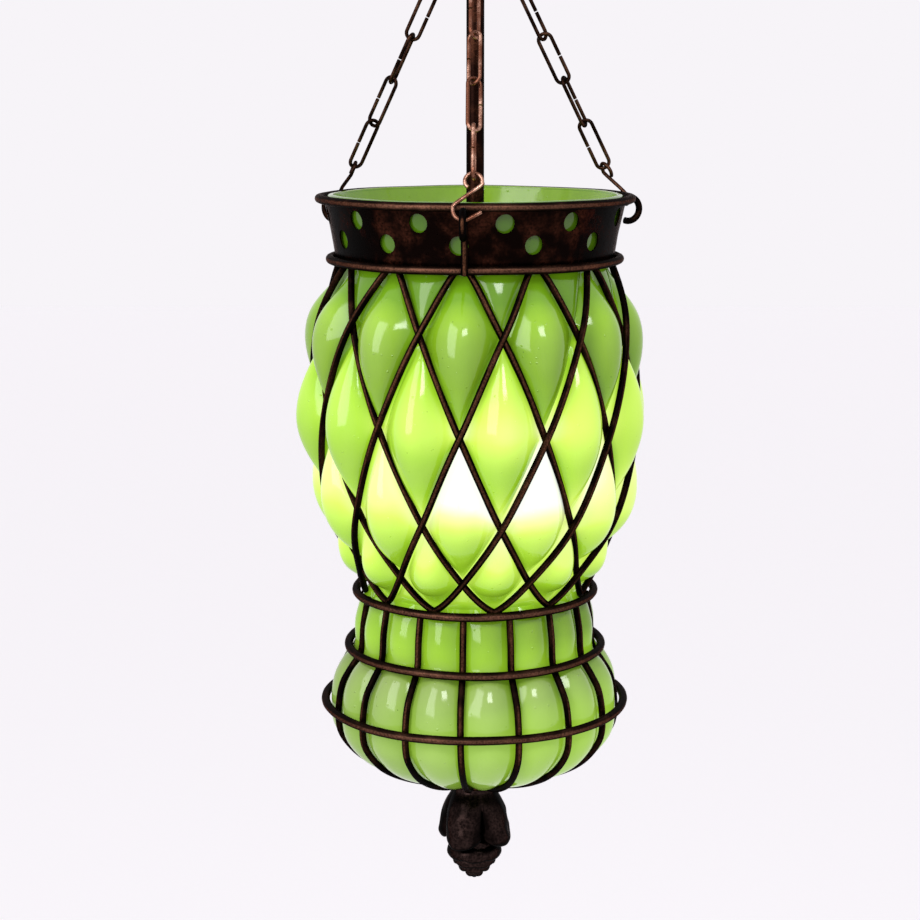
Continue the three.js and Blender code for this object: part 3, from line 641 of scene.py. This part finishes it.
LEAVES = 4
LEAF_PHASE = -28
LEAF_LINE = (
    (13, 356.9), (13.2, 358.8), (14.6, 361.6), (17.8, 366.8), (20.4, 373.4), (22, 380), (23, 385.6),
    (23.2, 389.2), (22, 392.2), (19.4, 393), (17, 391),
)
LEAF_STEPS = 5
LEAF_COLUMNS = 160
FOLD_DEPTH = 0.3  # of the radius
FOLD_SHARPNESS = 0.7
FOLDED = 2 / 3  # the share of the way down by which the folds are full
NOTCH_DEPTH = 7.6  # how far a leaf's end hangs below the fold beside it
NOTCH_SHARPNESS = 0.6
NOTCHED = 1 / 1.1
LEAF_RIBS = 3  # on each leaf
RIB_HEIGHT = 0.12
LEAF_LUMP = 7 * MM  # across a lump left by modelling in wax
LUMP_HEIGHT = 1.2
leaf_line = smooth_line(LEAF_LINE, LEAF_STEPS)


def leaf_surface(column, step):
    """The cap of leaves: deep folds part them, ribs run down them, and their ends curl under."""
    angle = 360 * column / LEAF_COLUMNS
    lobe = abs(math.cos(math.radians(LEAVES * angle / 2)))
    radius, drop = leaf_line[step]
    down = step / (len(leaf_line) - 1)
    hang = smooth(down / FOLDED)
    radius *= 1 - FOLD_DEPTH * hang * (1 - lobe ** FOLD_SHARPNESS)
    ribs = math.cos(math.radians(LEAVES * LEAF_RIBS * angle))
    lumps = noise.noise(at(radius, angle, drop) / LEAF_LUMP)
    radius += (RIB_HEIGHT * ribs + LUMP_HEIGHT * lumps) * hang
    drop -= NOTCH_DEPTH * smooth(down / NOTCHED) * (1 - lobe ** NOTCH_SHARPNESS)
    return at(radius, angle + LEAF_PHASE, drop)


bm = bmesh.new()
flat_sheet(bm, LEAF_COLUMNS, len(leaf_line) - 1, leaf_surface)
bmesh.ops.remove_doubles(bm, verts=bm.verts, dist=TOUCHING)
bmesh.ops.holes_fill(bm, edges=[edge for edge in bm.edges if edge.is_boundary])
dark_casting = patina("patinated_bronze_casting", "060404", "40302d", bare=0.5, gloss=0.22, grain=1.4)
finished("leaf_cap", bm, dark_casting, "shade", ["finial_leaves"], sharp=70)

SCALE_ROWS = (  # how many scales, and the radius and the drop of their ends
    (7, 16.4, 402), (6, 12.8, 407), (5, 9, 411.6), (4, 4.8, 415.4),
)
SCALE_OVERLAP = 1.25  # how much wider a scale is than its share of the row
SCALE_THICKNESS = 6
SCALE_LENGTH = 9.8
SCALE_MIDDLE = (2.9, 4.1)  # how far inside and above its end a scale's middle lies
SCALE_LEAN = (16, 9)  # of the first row, and how much more of each row under it
SCALE_ASKEW = 9
CASTING_DETAIL = 0.5 * MM  # the finest that the metal ran into
CONE_CORE = (
    (0, 388), (13, 390), (14.6, 396), (12.4, 402), (9, 407), (5.6, 411.6), (2.6, 415.4), (1.2, 416.8),
    (0, 417),
)
bm = bmesh.new()
spun(bm, CONE_CORE, steps=40)
for row, (count, radius, drop) in enumerate(SCALE_ROWS):
    lean = Matrix.Rotation(-math.radians(SCALE_LEAN[0] + SCALE_LEAN[1] * row), 4, "X")
    half_width = SCALE_OVERLAP * math.pi * radius / count
    size = Matrix.Diagonal((half_width * MM, SCALE_THICKNESS / 2 * MM, SCALE_LENGTH / 2 * MM, 1))
    for k in range(count):
        angle = 360 / count * (k + 0.5 * (row % 2)) + SCALE_ASKEW * noise.noise(Vector((row, k, 5)))
        turn = Matrix.Rotation(math.radians(angle), 4, "Z")
        place = Matrix.Translation(at(radius - SCALE_MIDDLE[0], angle, drop - SCALE_MIDDLE[1]))
        form = place @ (turn @ lean) @ size
        bmesh.ops.create_icosphere(bm, subdivisions=3, radius=1, matrix=form)
cone = finished("scale_cone", bm, dark_casting, "shade", ["finial_cone"], sharp=80)
fuse = cone.modifiers.new("cast", "REMESH")
fuse.mode, fuse.voxel_size = "VOXEL", CASTING_DETAIL
fuse.use_smooth_shade = True


# Chains: five links of bronze wire each, closed round a former with a small cut left in one side,
# and an S-hook of the same wire that catches the eye of the post. The chains' patina is painted in
# two copies: lit, a bright copper, on the front chain, and in shade, darker brown, on the side chains.
LINKS = 5
LINK_PITCH = 28.6
LINK_WIDTH = 10
LINK_CUT = 0.9
LINK_SLACK = 0.9
CHAIN_ANGLES = {"front": -1, "right": 115.5, "left": -122.7}
LINK_TWISTS = {  # how each link is turned, from the lowest one up
    "front": (185, 62, 306, 215, 98), "right": (25, 135, 212, 150, 85), "left": (118, 182, 75, 330, 86),
}
HOOK_TWISTS = {"front": 90, "right": 90, "left": 55}
HOOK_REACH = (CHAIN_TOP - CHAIN_FOOT).length - LINKS * LINK_PITCH
HOOK_EYE = 4.7  # the radius of its upper ring's middle line
HOOK_TURNS = (232, -38, -30)  # that ring's first and last angle, and the step
HOOK_PLAY = 0.3  # the hook's in the lowest link
HOOK_BEND = ((-4.4, 9.6), (-6, 6), (-4.7, 2), (-1.6, 0), (1.6, 0), (5, 1.8), (9.4, 4.4))


def on_chain(side, twist, along, across, shift=0):
    """A point of a chain: so far up from its foot and across it, in a plane turned by the twist."""
    angle, turn = math.radians(CHAIN_ANGLES[side]), math.radians(twist)
    foot = at(CHAIN_FOOT.x, CHAIN_ANGLES[side], CHAIN_FOOT.y)
    up = (at(CHAIN_TOP.x, CHAIN_ANGLES[side], CHAIN_TOP.y) - foot).normalized()
    sideways = Vector((math.cos(angle), math.sin(angle), 0))
    facing = up.cross(sideways) * math.cos(turn) + sideways * math.sin(turn)
    return foot + (up * along + facing * across + sideways * shift) * MM


def arc(radius, middle, first, last, step=15):
    """Points of an arc round a middle that lies so far up, from one angle in degrees to another."""
    turns = [math.radians(t) for t in range(first, last + (1 if step > 0 else -1), step)]
    return [(radius * math.cos(t), middle + radius * math.sin(t)) for t in turns]


# One patina in two painted copies: in shade for the side chains, lit for the front chain.
chain_painted_shaded = patina("chain_patina_painted_shaded", "180c08", "74503e", bare=0.6, outward=False,
                     gloss=0.28, grain=0.8)
chain_painted_lit = patina("chain_patina_painted_lit", "6c4434", "dcae98", bare=1.0, outward=False,
                      gloss=0.26, grain=0.8)
CHAIN_LOOKS = {"front": chain_painted_lit, "right": chain_painted_shaded, "left": chain_painted_shaded}
bend = (LINK_WIDTH - CHAIN_WIRE) / 2
straight = (LINK_PITCH + CHAIN_WIRE + LINK_SLACK) / 2 - bend
sides = [straight * share for share in (0.2, 0.5, 0.8)]
link = [(bend, LINK_CUT / 2), *[(bend, y) for y in sides], *arc(bend, straight, 0, 180)]
link += [(-bend, y) for y in sides[::-1] + [0] + [-y for y in sides]] + arc(bend, -straight, 180, 360)
link += [(bend, -y) for y in sides[::-1]] + [(bend, -LINK_CUT / 2)]
ring_middle = HOOK_REACH + (CHAIN_WIRE + HOOK_PLAY) / 2 - HOOK_EYE
for side, twists in LINK_TWISTS.items():
    for k, twist in enumerate(twists):
        bm = bmesh.new()
        middle = HOOK_REACH + LINK_PITCH * (k + 0.5)
        drawn(bm, [on_chain(side, twist, middle + y, x) for x, y in link], CHAIN_WIRE)
        replaced = f"chain_{side}_link_{k + 1}"
        finished(f"link_{side}_{k + 1}", bm, CHAIN_LOOKS[side], "chain_" + side, [replaced])
    shift = CHAIN_FOOT.x * math.sin(math.radians(EYE_ANGLES[side] - CHAIN_ANGLES[side]))
    turn = HOOK_TWISTS[side]
    line = [on_chain(side, turn, y, x) for x, y in arc(HOOK_EYE, ring_middle, *HOOK_TURNS)]
    line += [on_chain(side, turn, y, x, shift) for x, y in HOOK_BEND]
    bm = bmesh.new()
    drawn(bm, smooth_line(line, 5), CHAIN_WIRE)
    finished("hook_" + side, bm, CHAIN_LOOKS[side], "chain_" + side, ["s_hook_" + side])


# Stem: iron lamp pipe, patinated with the rest, threaded where the crown's nuts and the lampholder
# hold it. The supply wires run down inside it.
STEM_RADIUS = 5.15
STEM_BORE = 3.5
STEM_TOP = -25.7  # below the origin, in millimetres
STEM_FOOT = 80  # a drop
STEM_HEAD = RIM_Z / MM - STEM_TOP
THREADS = ((-179.2, -168.4), (-156, -146), (66, 80))  # drops of each one's top and foot
THREAD_PITCH = 0.94
THREAD_DEPTH = 0.3
skin = [(STEM_RADIUS, STEM_HEAD)]
for top, foot in THREADS:
    for turn in range(int((foot - top) / THREAD_PITCH)):
        drop = top + THREAD_PITCH * turn
        skin += [(STEM_RADIUS, drop), (STEM_RADIUS - THREAD_DEPTH, drop + THREAD_PITCH / 2)]
    skin.append((STEM_RADIUS, foot))
bm = bmesh.new()
spun(bm, skin + [(STEM_BORE, STEM_FOOT), (STEM_BORE, STEM_HEAD)], steps=40)
pipe_brown = patina("brown_patinated_pipe", "120705", "4a2a1c", bare=0.5, outward=False,
                    gloss=0.32, grain=1.2)
finished("lamp_pipe", bm, pipe_brown, "stem", ["stem_tube"], sharp=30)


# Hanging loop: a cast eye, thicker where it grows out of the screw collar that holds the stem, with
# a hole at the back where the wires leave.
LOOP_RADIUS = 8
LOOP_BAR = 4.6
LOOP_SWELLS = 0.35  # how much thicker the bar is at its foot
LOOP_STEPS = (64, 20)
COLLAR_TOP = -18.4  # below the origin, in millimetres, as its foot
COLLAR_FOOT = -34
COLLAR_SHOULDER = ((0.1, 0), (3, 0.3), (6.4, 1.2), (8.4, 3.2), (9, 6))  # below its top
COLLAR_LIP = ((9, 1.2), (8.6, 0.4), (7.8, 0))  # above its foot
SOCKET_PLAY = 0.35
SOCKET_DEPTH = 8
WIRE_SPACE = (3.4, 11.4)  # the radius and the depth of the hollow over the socket
WIRE_HOLE = 2  # a radius
WIRE_HOLE_LENGTH = 12
WIRE_HOLE_PLACE = (0, 6, STEM_TOP + 2.2)


def loop_surface(column, step):
    """A ring of round bar that stands upright and thickens towards its foot."""
    round_ring, round_bar = 2 * math.pi * column / LOOP_STEPS[0], 2 * math.pi * step / LOOP_STEPS[1]
    swell = 1 + LOOP_SWELLS * smooth(-math.sin(round_ring) * 1.6 - 0.5)
    reach = LOOP_RADIUS + LOOP_BAR / 2 * (1 + swell * math.cos(round_bar))
    return Vector((reach * math.cos(round_ring), LOOP_BAR / 2 * swell * math.sin(round_bar),
                   reach * math.sin(round_ring) - LOOP_RADIUS)) * MM


bm = bmesh.new()
flat_sheet(bm, *LOOP_STEPS, loop_surface)
bmesh.ops.remove_doubles(bm, verts=bm.verts, dist=TOUCHING)
loop_bronze = patina("patinated_bronze_fitting", "140a07", "63432f", bare=0.7, outward=False, gloss=0.4)
loop = finished("cast_loop", bm, loop_bronze, "stem", ["hanging_loop"], sharp=40)
bm = bmesh.new()
top, foot = (RIM_Z / MM - height for height in (COLLAR_TOP, COLLAR_FOOT))
shoulder = smooth_line([(radius, top + down) for radius, down in COLLAR_SHOULDER], 5)
lip = [(radius, foot - up) for radius, up in COLLAR_LIP]
socket, roof = STEM_RADIUS + SOCKET_PLAY, foot - SOCKET_DEPTH
space, end = WIRE_SPACE[0], foot - WIRE_SPACE[1]
hollow = [(socket, foot), (socket, roof), (space, roof), (space, end), (0, end)]
spun(bm, [(0, top), *shoulder, *lip, *hollow], steps=64)
bmesh.ops.recalc_face_normals(bm, faces=bm.faces)
cut_out(loop, bm, "UNION")
bm = bmesh.new()
lying = Matrix.Rotation(math.pi / 2, 4, "X")
rod(bm, WIRE_HOLE, WIRE_HOLE_LENGTH, Matrix.Translation(Vector(WIRE_HOLE_PLACE) * MM) @ lying, sides=28)
cut_out(loop, bm)


# Crown: a spun cap free to turn on the stem between two nuts, with three lugs brazed under it that
# carry the chains.
CROWN_TOP = -163
CROWN_SEAT = -157  # the drop of its underside at the stem
CROWN_BORE = 5.65
CROWN_OUTSIDE = (
    (9, CROWN_TOP), (12.6, -161.6), (16, -159.4), (19.4, -157.2), (22, -155), (24.4, -151.6),
    (25.6, -148),
)
CROWN_EDGE = (25, -147.4)
CROWN_INSIDE = ((24, -147.2), (22.6, -150.2), (20.4, -152.8), (15.4, -156.2), (11, CROWN_SEAT))
LUG_THICKNESS = 3
LUG_RADIUS = 5.6
LUG_TAPER = 1
LUG_ROOTS = (17.6, 12.6)  # how far above its hole its inner and outer edges end
LUG_HOLE = 2.6  # a radius
LUG_SLACK = 0.8
LUG_ROUND = 0.5
DRILL_LENGTH = 8
bm = bmesh.new()
skin, hollow = (smooth_line(line, 4) for line in (CROWN_OUTSIDE, CROWN_INSIDE))
spun(bm, [(CROWN_BORE, CROWN_TOP), *skin, CROWN_EDGE, *hollow, (CROWN_BORE, CROWN_SEAT)], steps=96)
crown = finished("crown_cap", bm, loop_bronze, "crown", ["chain_crown"], sharp=40)
lugs, holes = bmesh.new(), bmesh.new()
hole_radius = CHAIN_TOP.x + up_chain.x * (LUG_HOLE - LUG_SLACK)
hole_drop = CHAIN_TOP.y + up_chain.y * (LUG_HOLE - LUG_SLACK)
for angle in CHAIN_ANGLES.values():
    edge = [(hole_radius - LUG_RADIUS + LUG_TAPER, hole_drop - LUG_ROOTS[0]),
            (hole_radius + LUG_RADIUS - LUG_TAPER, hole_drop - LUG_ROOTS[1])]
    edge += [(hole_radius + out, drop) for out, drop in arc(LUG_RADIUS, hole_drop, 0, 180, 12)]
    turn = math.radians(angle)
    side = Vector((math.cos(turn), math.sin(turn), 0)) * LUG_THICKNESS / 2 * MM
    face = lugs.faces.new([lugs.verts.new(at(radius, angle, drop) - side) for radius, drop in edge])
    pushed = bmesh.ops.extrude_face_region(lugs, geom=[face])["geom"]
    pushed = [part for part in pushed if isinstance(part, bmesh.types.BMVert)]
    bmesh.ops.translate(lugs, verts=pushed, vec=side * 2)
    rod(holes, LUG_HOLE, DRILL_LENGTH, pointing(at(hole_radius, angle, hole_drop), side))
bmesh.ops.recalc_face_normals(lugs, faces=lugs.faces)
corners = [edge for edge in lugs.edges if edge.calc_face_angle(0) > CORNER]
bmesh.ops.bevel(lugs, geom=corners, offset=LUG_ROUND * MM, segments=2, profile=0.5, affect="EDGES",
                material=-1)
cut_out(crown, lugs, "UNION")
cut_out(crown, holes)


# Nuts: two brass hexagons, 17 mm across the flats, chamfered on their corners; one locks the crown
# from above and one carries it.
NUT_FLATS = 17
NUT_HEIGHT = 5
NUT_BORE = 5.55
NUT_FACE = 8.4  # the radius inside its chamfer
NUT_CHAMFER = 0.8
NUT_PLAY = 0.3  # between a nut and the crown
NUT_TOPS = {"lock_nut": CROWN_TOP - NUT_PLAY - NUT_HEIGHT, "seat_nut": CROWN_SEAT + NUT_PLAY}
nut_brass = patina("darkened_brass", "3a2a14", "b08d4f", bare=0.85, outward=False, gloss=0.34)
corner = NUT_FLATS / 2 / math.cos(math.pi / 6)
for name, top in NUT_TOPS.items():
    foot = top + NUT_HEIGHT
    bm = bmesh.new()
    spun(bm, [(NUT_BORE, top), (NUT_FACE, top), (corner, top + NUT_CHAMFER), (corner, foot - NUT_CHAMFER),
              (NUT_FACE, foot), (NUT_BORE, foot)], steps=60)
    nut = finished(name + "_turned", bm, nut_brass, "stem", [name], sharp=30)
    bm = bmesh.new()
    rod(bm, corner, NUT_HEIGHT + 3, Matrix.Translation(at(0, 0, top + NUT_HEIGHT / 2)), sides=6)
    cut_out(nut, bm, "INTERSECT", sharp=30)


# Lampholder: a bronze cap on the stem's foot, a black phenolic body under it, and inside that the
# rolled brass shell that takes the bulb and the contact at its middle. Drops are from the stem's foot.
CAP_OUTSIDE = ((9, -8.6), (9.2, -4), (11, -1.2), (16, 2), (19.4, 6), (20.4, 10), (20.4, 18))
CAP_INSIDE = ((19, 18), (19, 9.6), (17.6, 6.6), (15, 3.6), (9, 1.2), (5, 0.8))
CAP_NECK = ((5.6, -9), (8.4, -9))
CAP_SEAT = ((5, 0.4), (5.6, 0.4))
BODY = (
    (0, 11), (17.6, 11), (18.6, 12), (18.6, 39.6), (18.8, 40.2), (19.8, 41), (19.8, 43.4), (19.2, 44),
    (16, 44), (15.4, 43.4), (15.4, 14.4), (0, 14.4),
)
CONTACT = ((0, 14.8), (3.2, 14.8), (3.4, 15), (2.6, 17.6), (2.2, 18), (0, 18))
THREAD_STEPS = 8  # points to a turn of the bulb's thread
BULB_PITCH = 3.6
SHELL_SHEET = 0.35
FLOUR = 0.8 * MM  # across a fleck of wood flour


def rolled_thread(radius, depth, top, count):
    """The outline of a thread rolled into sheet: so many points, from its top down."""
    turns = [k / THREAD_STEPS for k in range(count)]
    return [(radius + depth * math.sin(2 * math.pi * turn), top + BULB_PITCH * turn) for turn in turns]


cap = smooth_line(CAP_OUTSIDE, 5) + smooth_line(CAP_INSIDE, 4)
shell = rolled_thread(14.4, 0.4, 18, 54)
HOLDER_SHELLS = {
    "holder_cap": [*CAP_NECK, *cap, *CAP_SEAT],
    "holder_body": BODY,
    "centre_contact": CONTACT,
    "screw_shell": shell + [(radius - SHELL_SHEET, drop) for radius, drop in reversed(shell)],
}


def moulded(name, colour, rough, speckle):
    """Black phenolic: dull, with the faint pale fleck of its wood-flour filling."""
    made, tree, shader = new_material(name)
    place = add(tree, "TexCoord", out="Object")
    flour = add(tree, "TexNoise", {}, {"Vector": place, "Scale": 1 / FLOUR, "Detail": 2})
    share = add(tree, "MapRange", {}, {0: flour, 1: 0.5, 2: 0.75})
    tone = add(tree, "Mix", {"data_type": "RGBA"}, {0: share, 6: linear(colour), 7: linear(speckle)}, out=2)
    tree.links.new(tone, shader.inputs["Base Color"])
    shader.inputs["Roughness"].default_value = rough
    return made


phenolic = moulded("black_phenolic", "12110f", 0.42, "2c2925")
HOLDER_LOOKS = {
    "holder_cap": (loop_bronze, "dark_bronze"), "holder_body": (phenolic, "phenolic"),
    "centre_contact": (nut_brass, "brass"), "screw_shell": (nut_brass, "brass"),
}
for name, profile in HOLDER_SHELLS.items():
    bm = bmesh.new()
    spun(bm, [(radius, drop + STEM_FOOT) for radius, drop in profile], steps=72)
    look, slot = HOLDER_LOOKS[name]
    finished(name + "_turned", bm, look, "stem", [name], sharp=35)


# Bulb: a screw base of thin brass with a solder tip on black glass, cemented to a round opal
# envelope. It's lit, and it lights the inside of the shade.
BASE_TOP = STEM_FOOT + 18.4
BASE_FOOT = STEM_FOOT + 44
BULB_DROP = BASE_FOOT + 48
BULB_RADIUS = 30
BASE_TIP = ((0, 0), (3.4, 0.2), (4.4, 1.4), (5.4, 2.4), (11.6, 5), (12.6, 6))  # below the base's top
BASE_RIM = ((13.2, -0.6), (13, 0), (0, 0))  # below the base's foot
BULB_NECK = ((12.4, 0.3), (13, 1.6), (14, 8), (16.8, 15), (20.4, 22), (24.4, 29.4))
LIT_TONES = ("e0c080", "fff6e0")
tip = [(radius, BASE_TOP + down) for radius, down in BASE_TIP]
rim = [(radius, BASE_FOOT + down) for radius, down in BASE_RIM]
bm = bmesh.new()
spun(bm, tip + rolled_thread(13, 0.45, BASE_TOP + 7.6, 38) + rim, steps=72)
finished("bulb_screw_base", bm, nut_brass, "bulb", ["bulb_base"], sharp=35)
neck = [(radius, BASE_FOOT + down) for radius, down in BULB_NECK]
globe = smooth_line(neck + arc(BULB_RADIUS, BULB_DROP, -20, 85, 6), 3)
bm = bmesh.new()
spun(bm, [(0, neck[0][1]), *globe, (0, BULB_DROP + BULB_RADIUS)], steps=72)


def lit_opal(name):
    """Opal bulb glass, lit: even white, a little warmer and weaker up at the neck."""
    made, tree, shader = new_material(name)
    place = add(tree, "TexCoord", out="Object")
    height = add(tree, "SeparateXYZ", {}, {0: place}, out="Z")
    share = add(tree, "MapRange", {}, {0: height, 1: RIM_Z - BASE_FOOT * MM, 2: RIM_Z - BULB_DROP * MM})
    warm, white = (linear(code) for code in LIT_TONES)
    tone = add(tree, "Mix", {"data_type": "RGBA"}, {0: share, 6: warm, 7: white}, out=2)
    shader.inputs["Base Color"].default_value = linear("f4f0e4")
    shader.inputs["Roughness"].default_value = 0.25
    tree.links.new(tone, shader.inputs["Emission Color"])
    shader.inputs["Emission Strength"].default_value = 6.0
    return made


finished("bulb_envelope", bm, lit_opal("lit_opal_glass"), "bulb", ["bulb_glass"])


# Room: a floor of pale paper about a metre under the lamp, an even pale backdrop, and two softboxes
# whose squares show on every swelling of the glass: a tall one on the left and a small one, higher
# up, on the right. Backdrop and floor are bright where they are looked at and light the lamp less.
FLOOR_DROP = 1.6  # metres below the hook
FLOOR_REACH = 12  # metres from its middle to each side
PAPER = "dcdadd"
PAPER_TONE = 0.7
BACKDROP = "f7f4f8"
BACKDROP_LIGHT = 0.35
LIT_PLACE = at(0, 0, 150)
SOFTBOXES = {  # azimuth, elevation, distance, width and height in metres, watts
    "left_softbox": (-40, 26, 1.5, 0.95, 1.5, 17.5),
    "right_softbox": (19, 39, 1.5, 0.5, 0.37, 6.5),
}
bpy.context.scene.view_settings.view_transform = "Standard"
for name, (azimuth, elevation, distance, width, height, watts) in SOFTBOXES.items():
    light = bpy.data.lights.new(name, "AREA")
    light.shape, light.size, light.size_y, light.energy = "RECTANGLE", width, height, watts
    lamp = bpy.data.objects.new(name, light)
    turn, rise = math.radians(azimuth), math.radians(elevation)
    away = Vector((math.sin(turn) * math.cos(rise), -math.cos(turn) * math.cos(rise), math.sin(rise)))
    lamp.location = LIT_PLACE + away * distance
    lamp.rotation_euler = away.to_track_quat("Z", "Y").to_euler()
    bpy.context.scene.collection.objects.link(lamp)


def looked_at(tree):
    """1 where a surface is looked at, straight or in a reflection, and 0 where it only gives light."""
    ray = tree.nodes.new("ShaderNodeLightPath").outputs
    seen = add(tree, "Math", {"operation": "MAXIMUM"}, {0: ray["Is Camera Ray"], 1: ray["Is Glossy Ray"]})
    return add(tree, "Math", {"operation": "MAXIMUM"}, {0: seen, 1: ray["Is Transmission Ray"]})


world = bpy.data.worlds.new("studio")
bpy.context.scene.world = world
world.use_nodes = True
tree = world.node_tree
level = add(tree, "MapRange", {}, {0: looked_at(tree), 3: BACKDROP_LIGHT, 4: 1.0})
tree.nodes["Background"].inputs["Color"].default_value = linear(BACKDROP)
tree.links.new(level, tree.nodes["Background"].inputs["Strength"])

bm = bmesh.new()
bmesh.ops.create_grid(bm, x_segments=1, y_segments=1, size=FLOOR_REACH)
bmesh.ops.translate(bm, verts=bm.verts, vec=(0, 0, -FLOOR_DROP))
mesh = bpy.data.meshes.new("floor")
bm.to_mesh(mesh)
bm.free()
floor = bpy.data.objects.new("floor", mesh)
bpy.context.scene.collection.objects.link(floor)
paper, tree, shader = new_material("pale_paper")
shader.inputs["Base Color"].default_value = linear(PAPER)
shader.inputs["Roughness"].default_value = 0.9
tone = add(tree, "Math", {"operation": "MULTIPLY"}, {0: looked_at(tree), 1: PAPER_TONE})
shader.inputs["Emission Color"].default_value = linear(BACKDROP)
tree.links.new(tone, shader.inputs["Emission Strength"])
mesh.materials.append(paper)
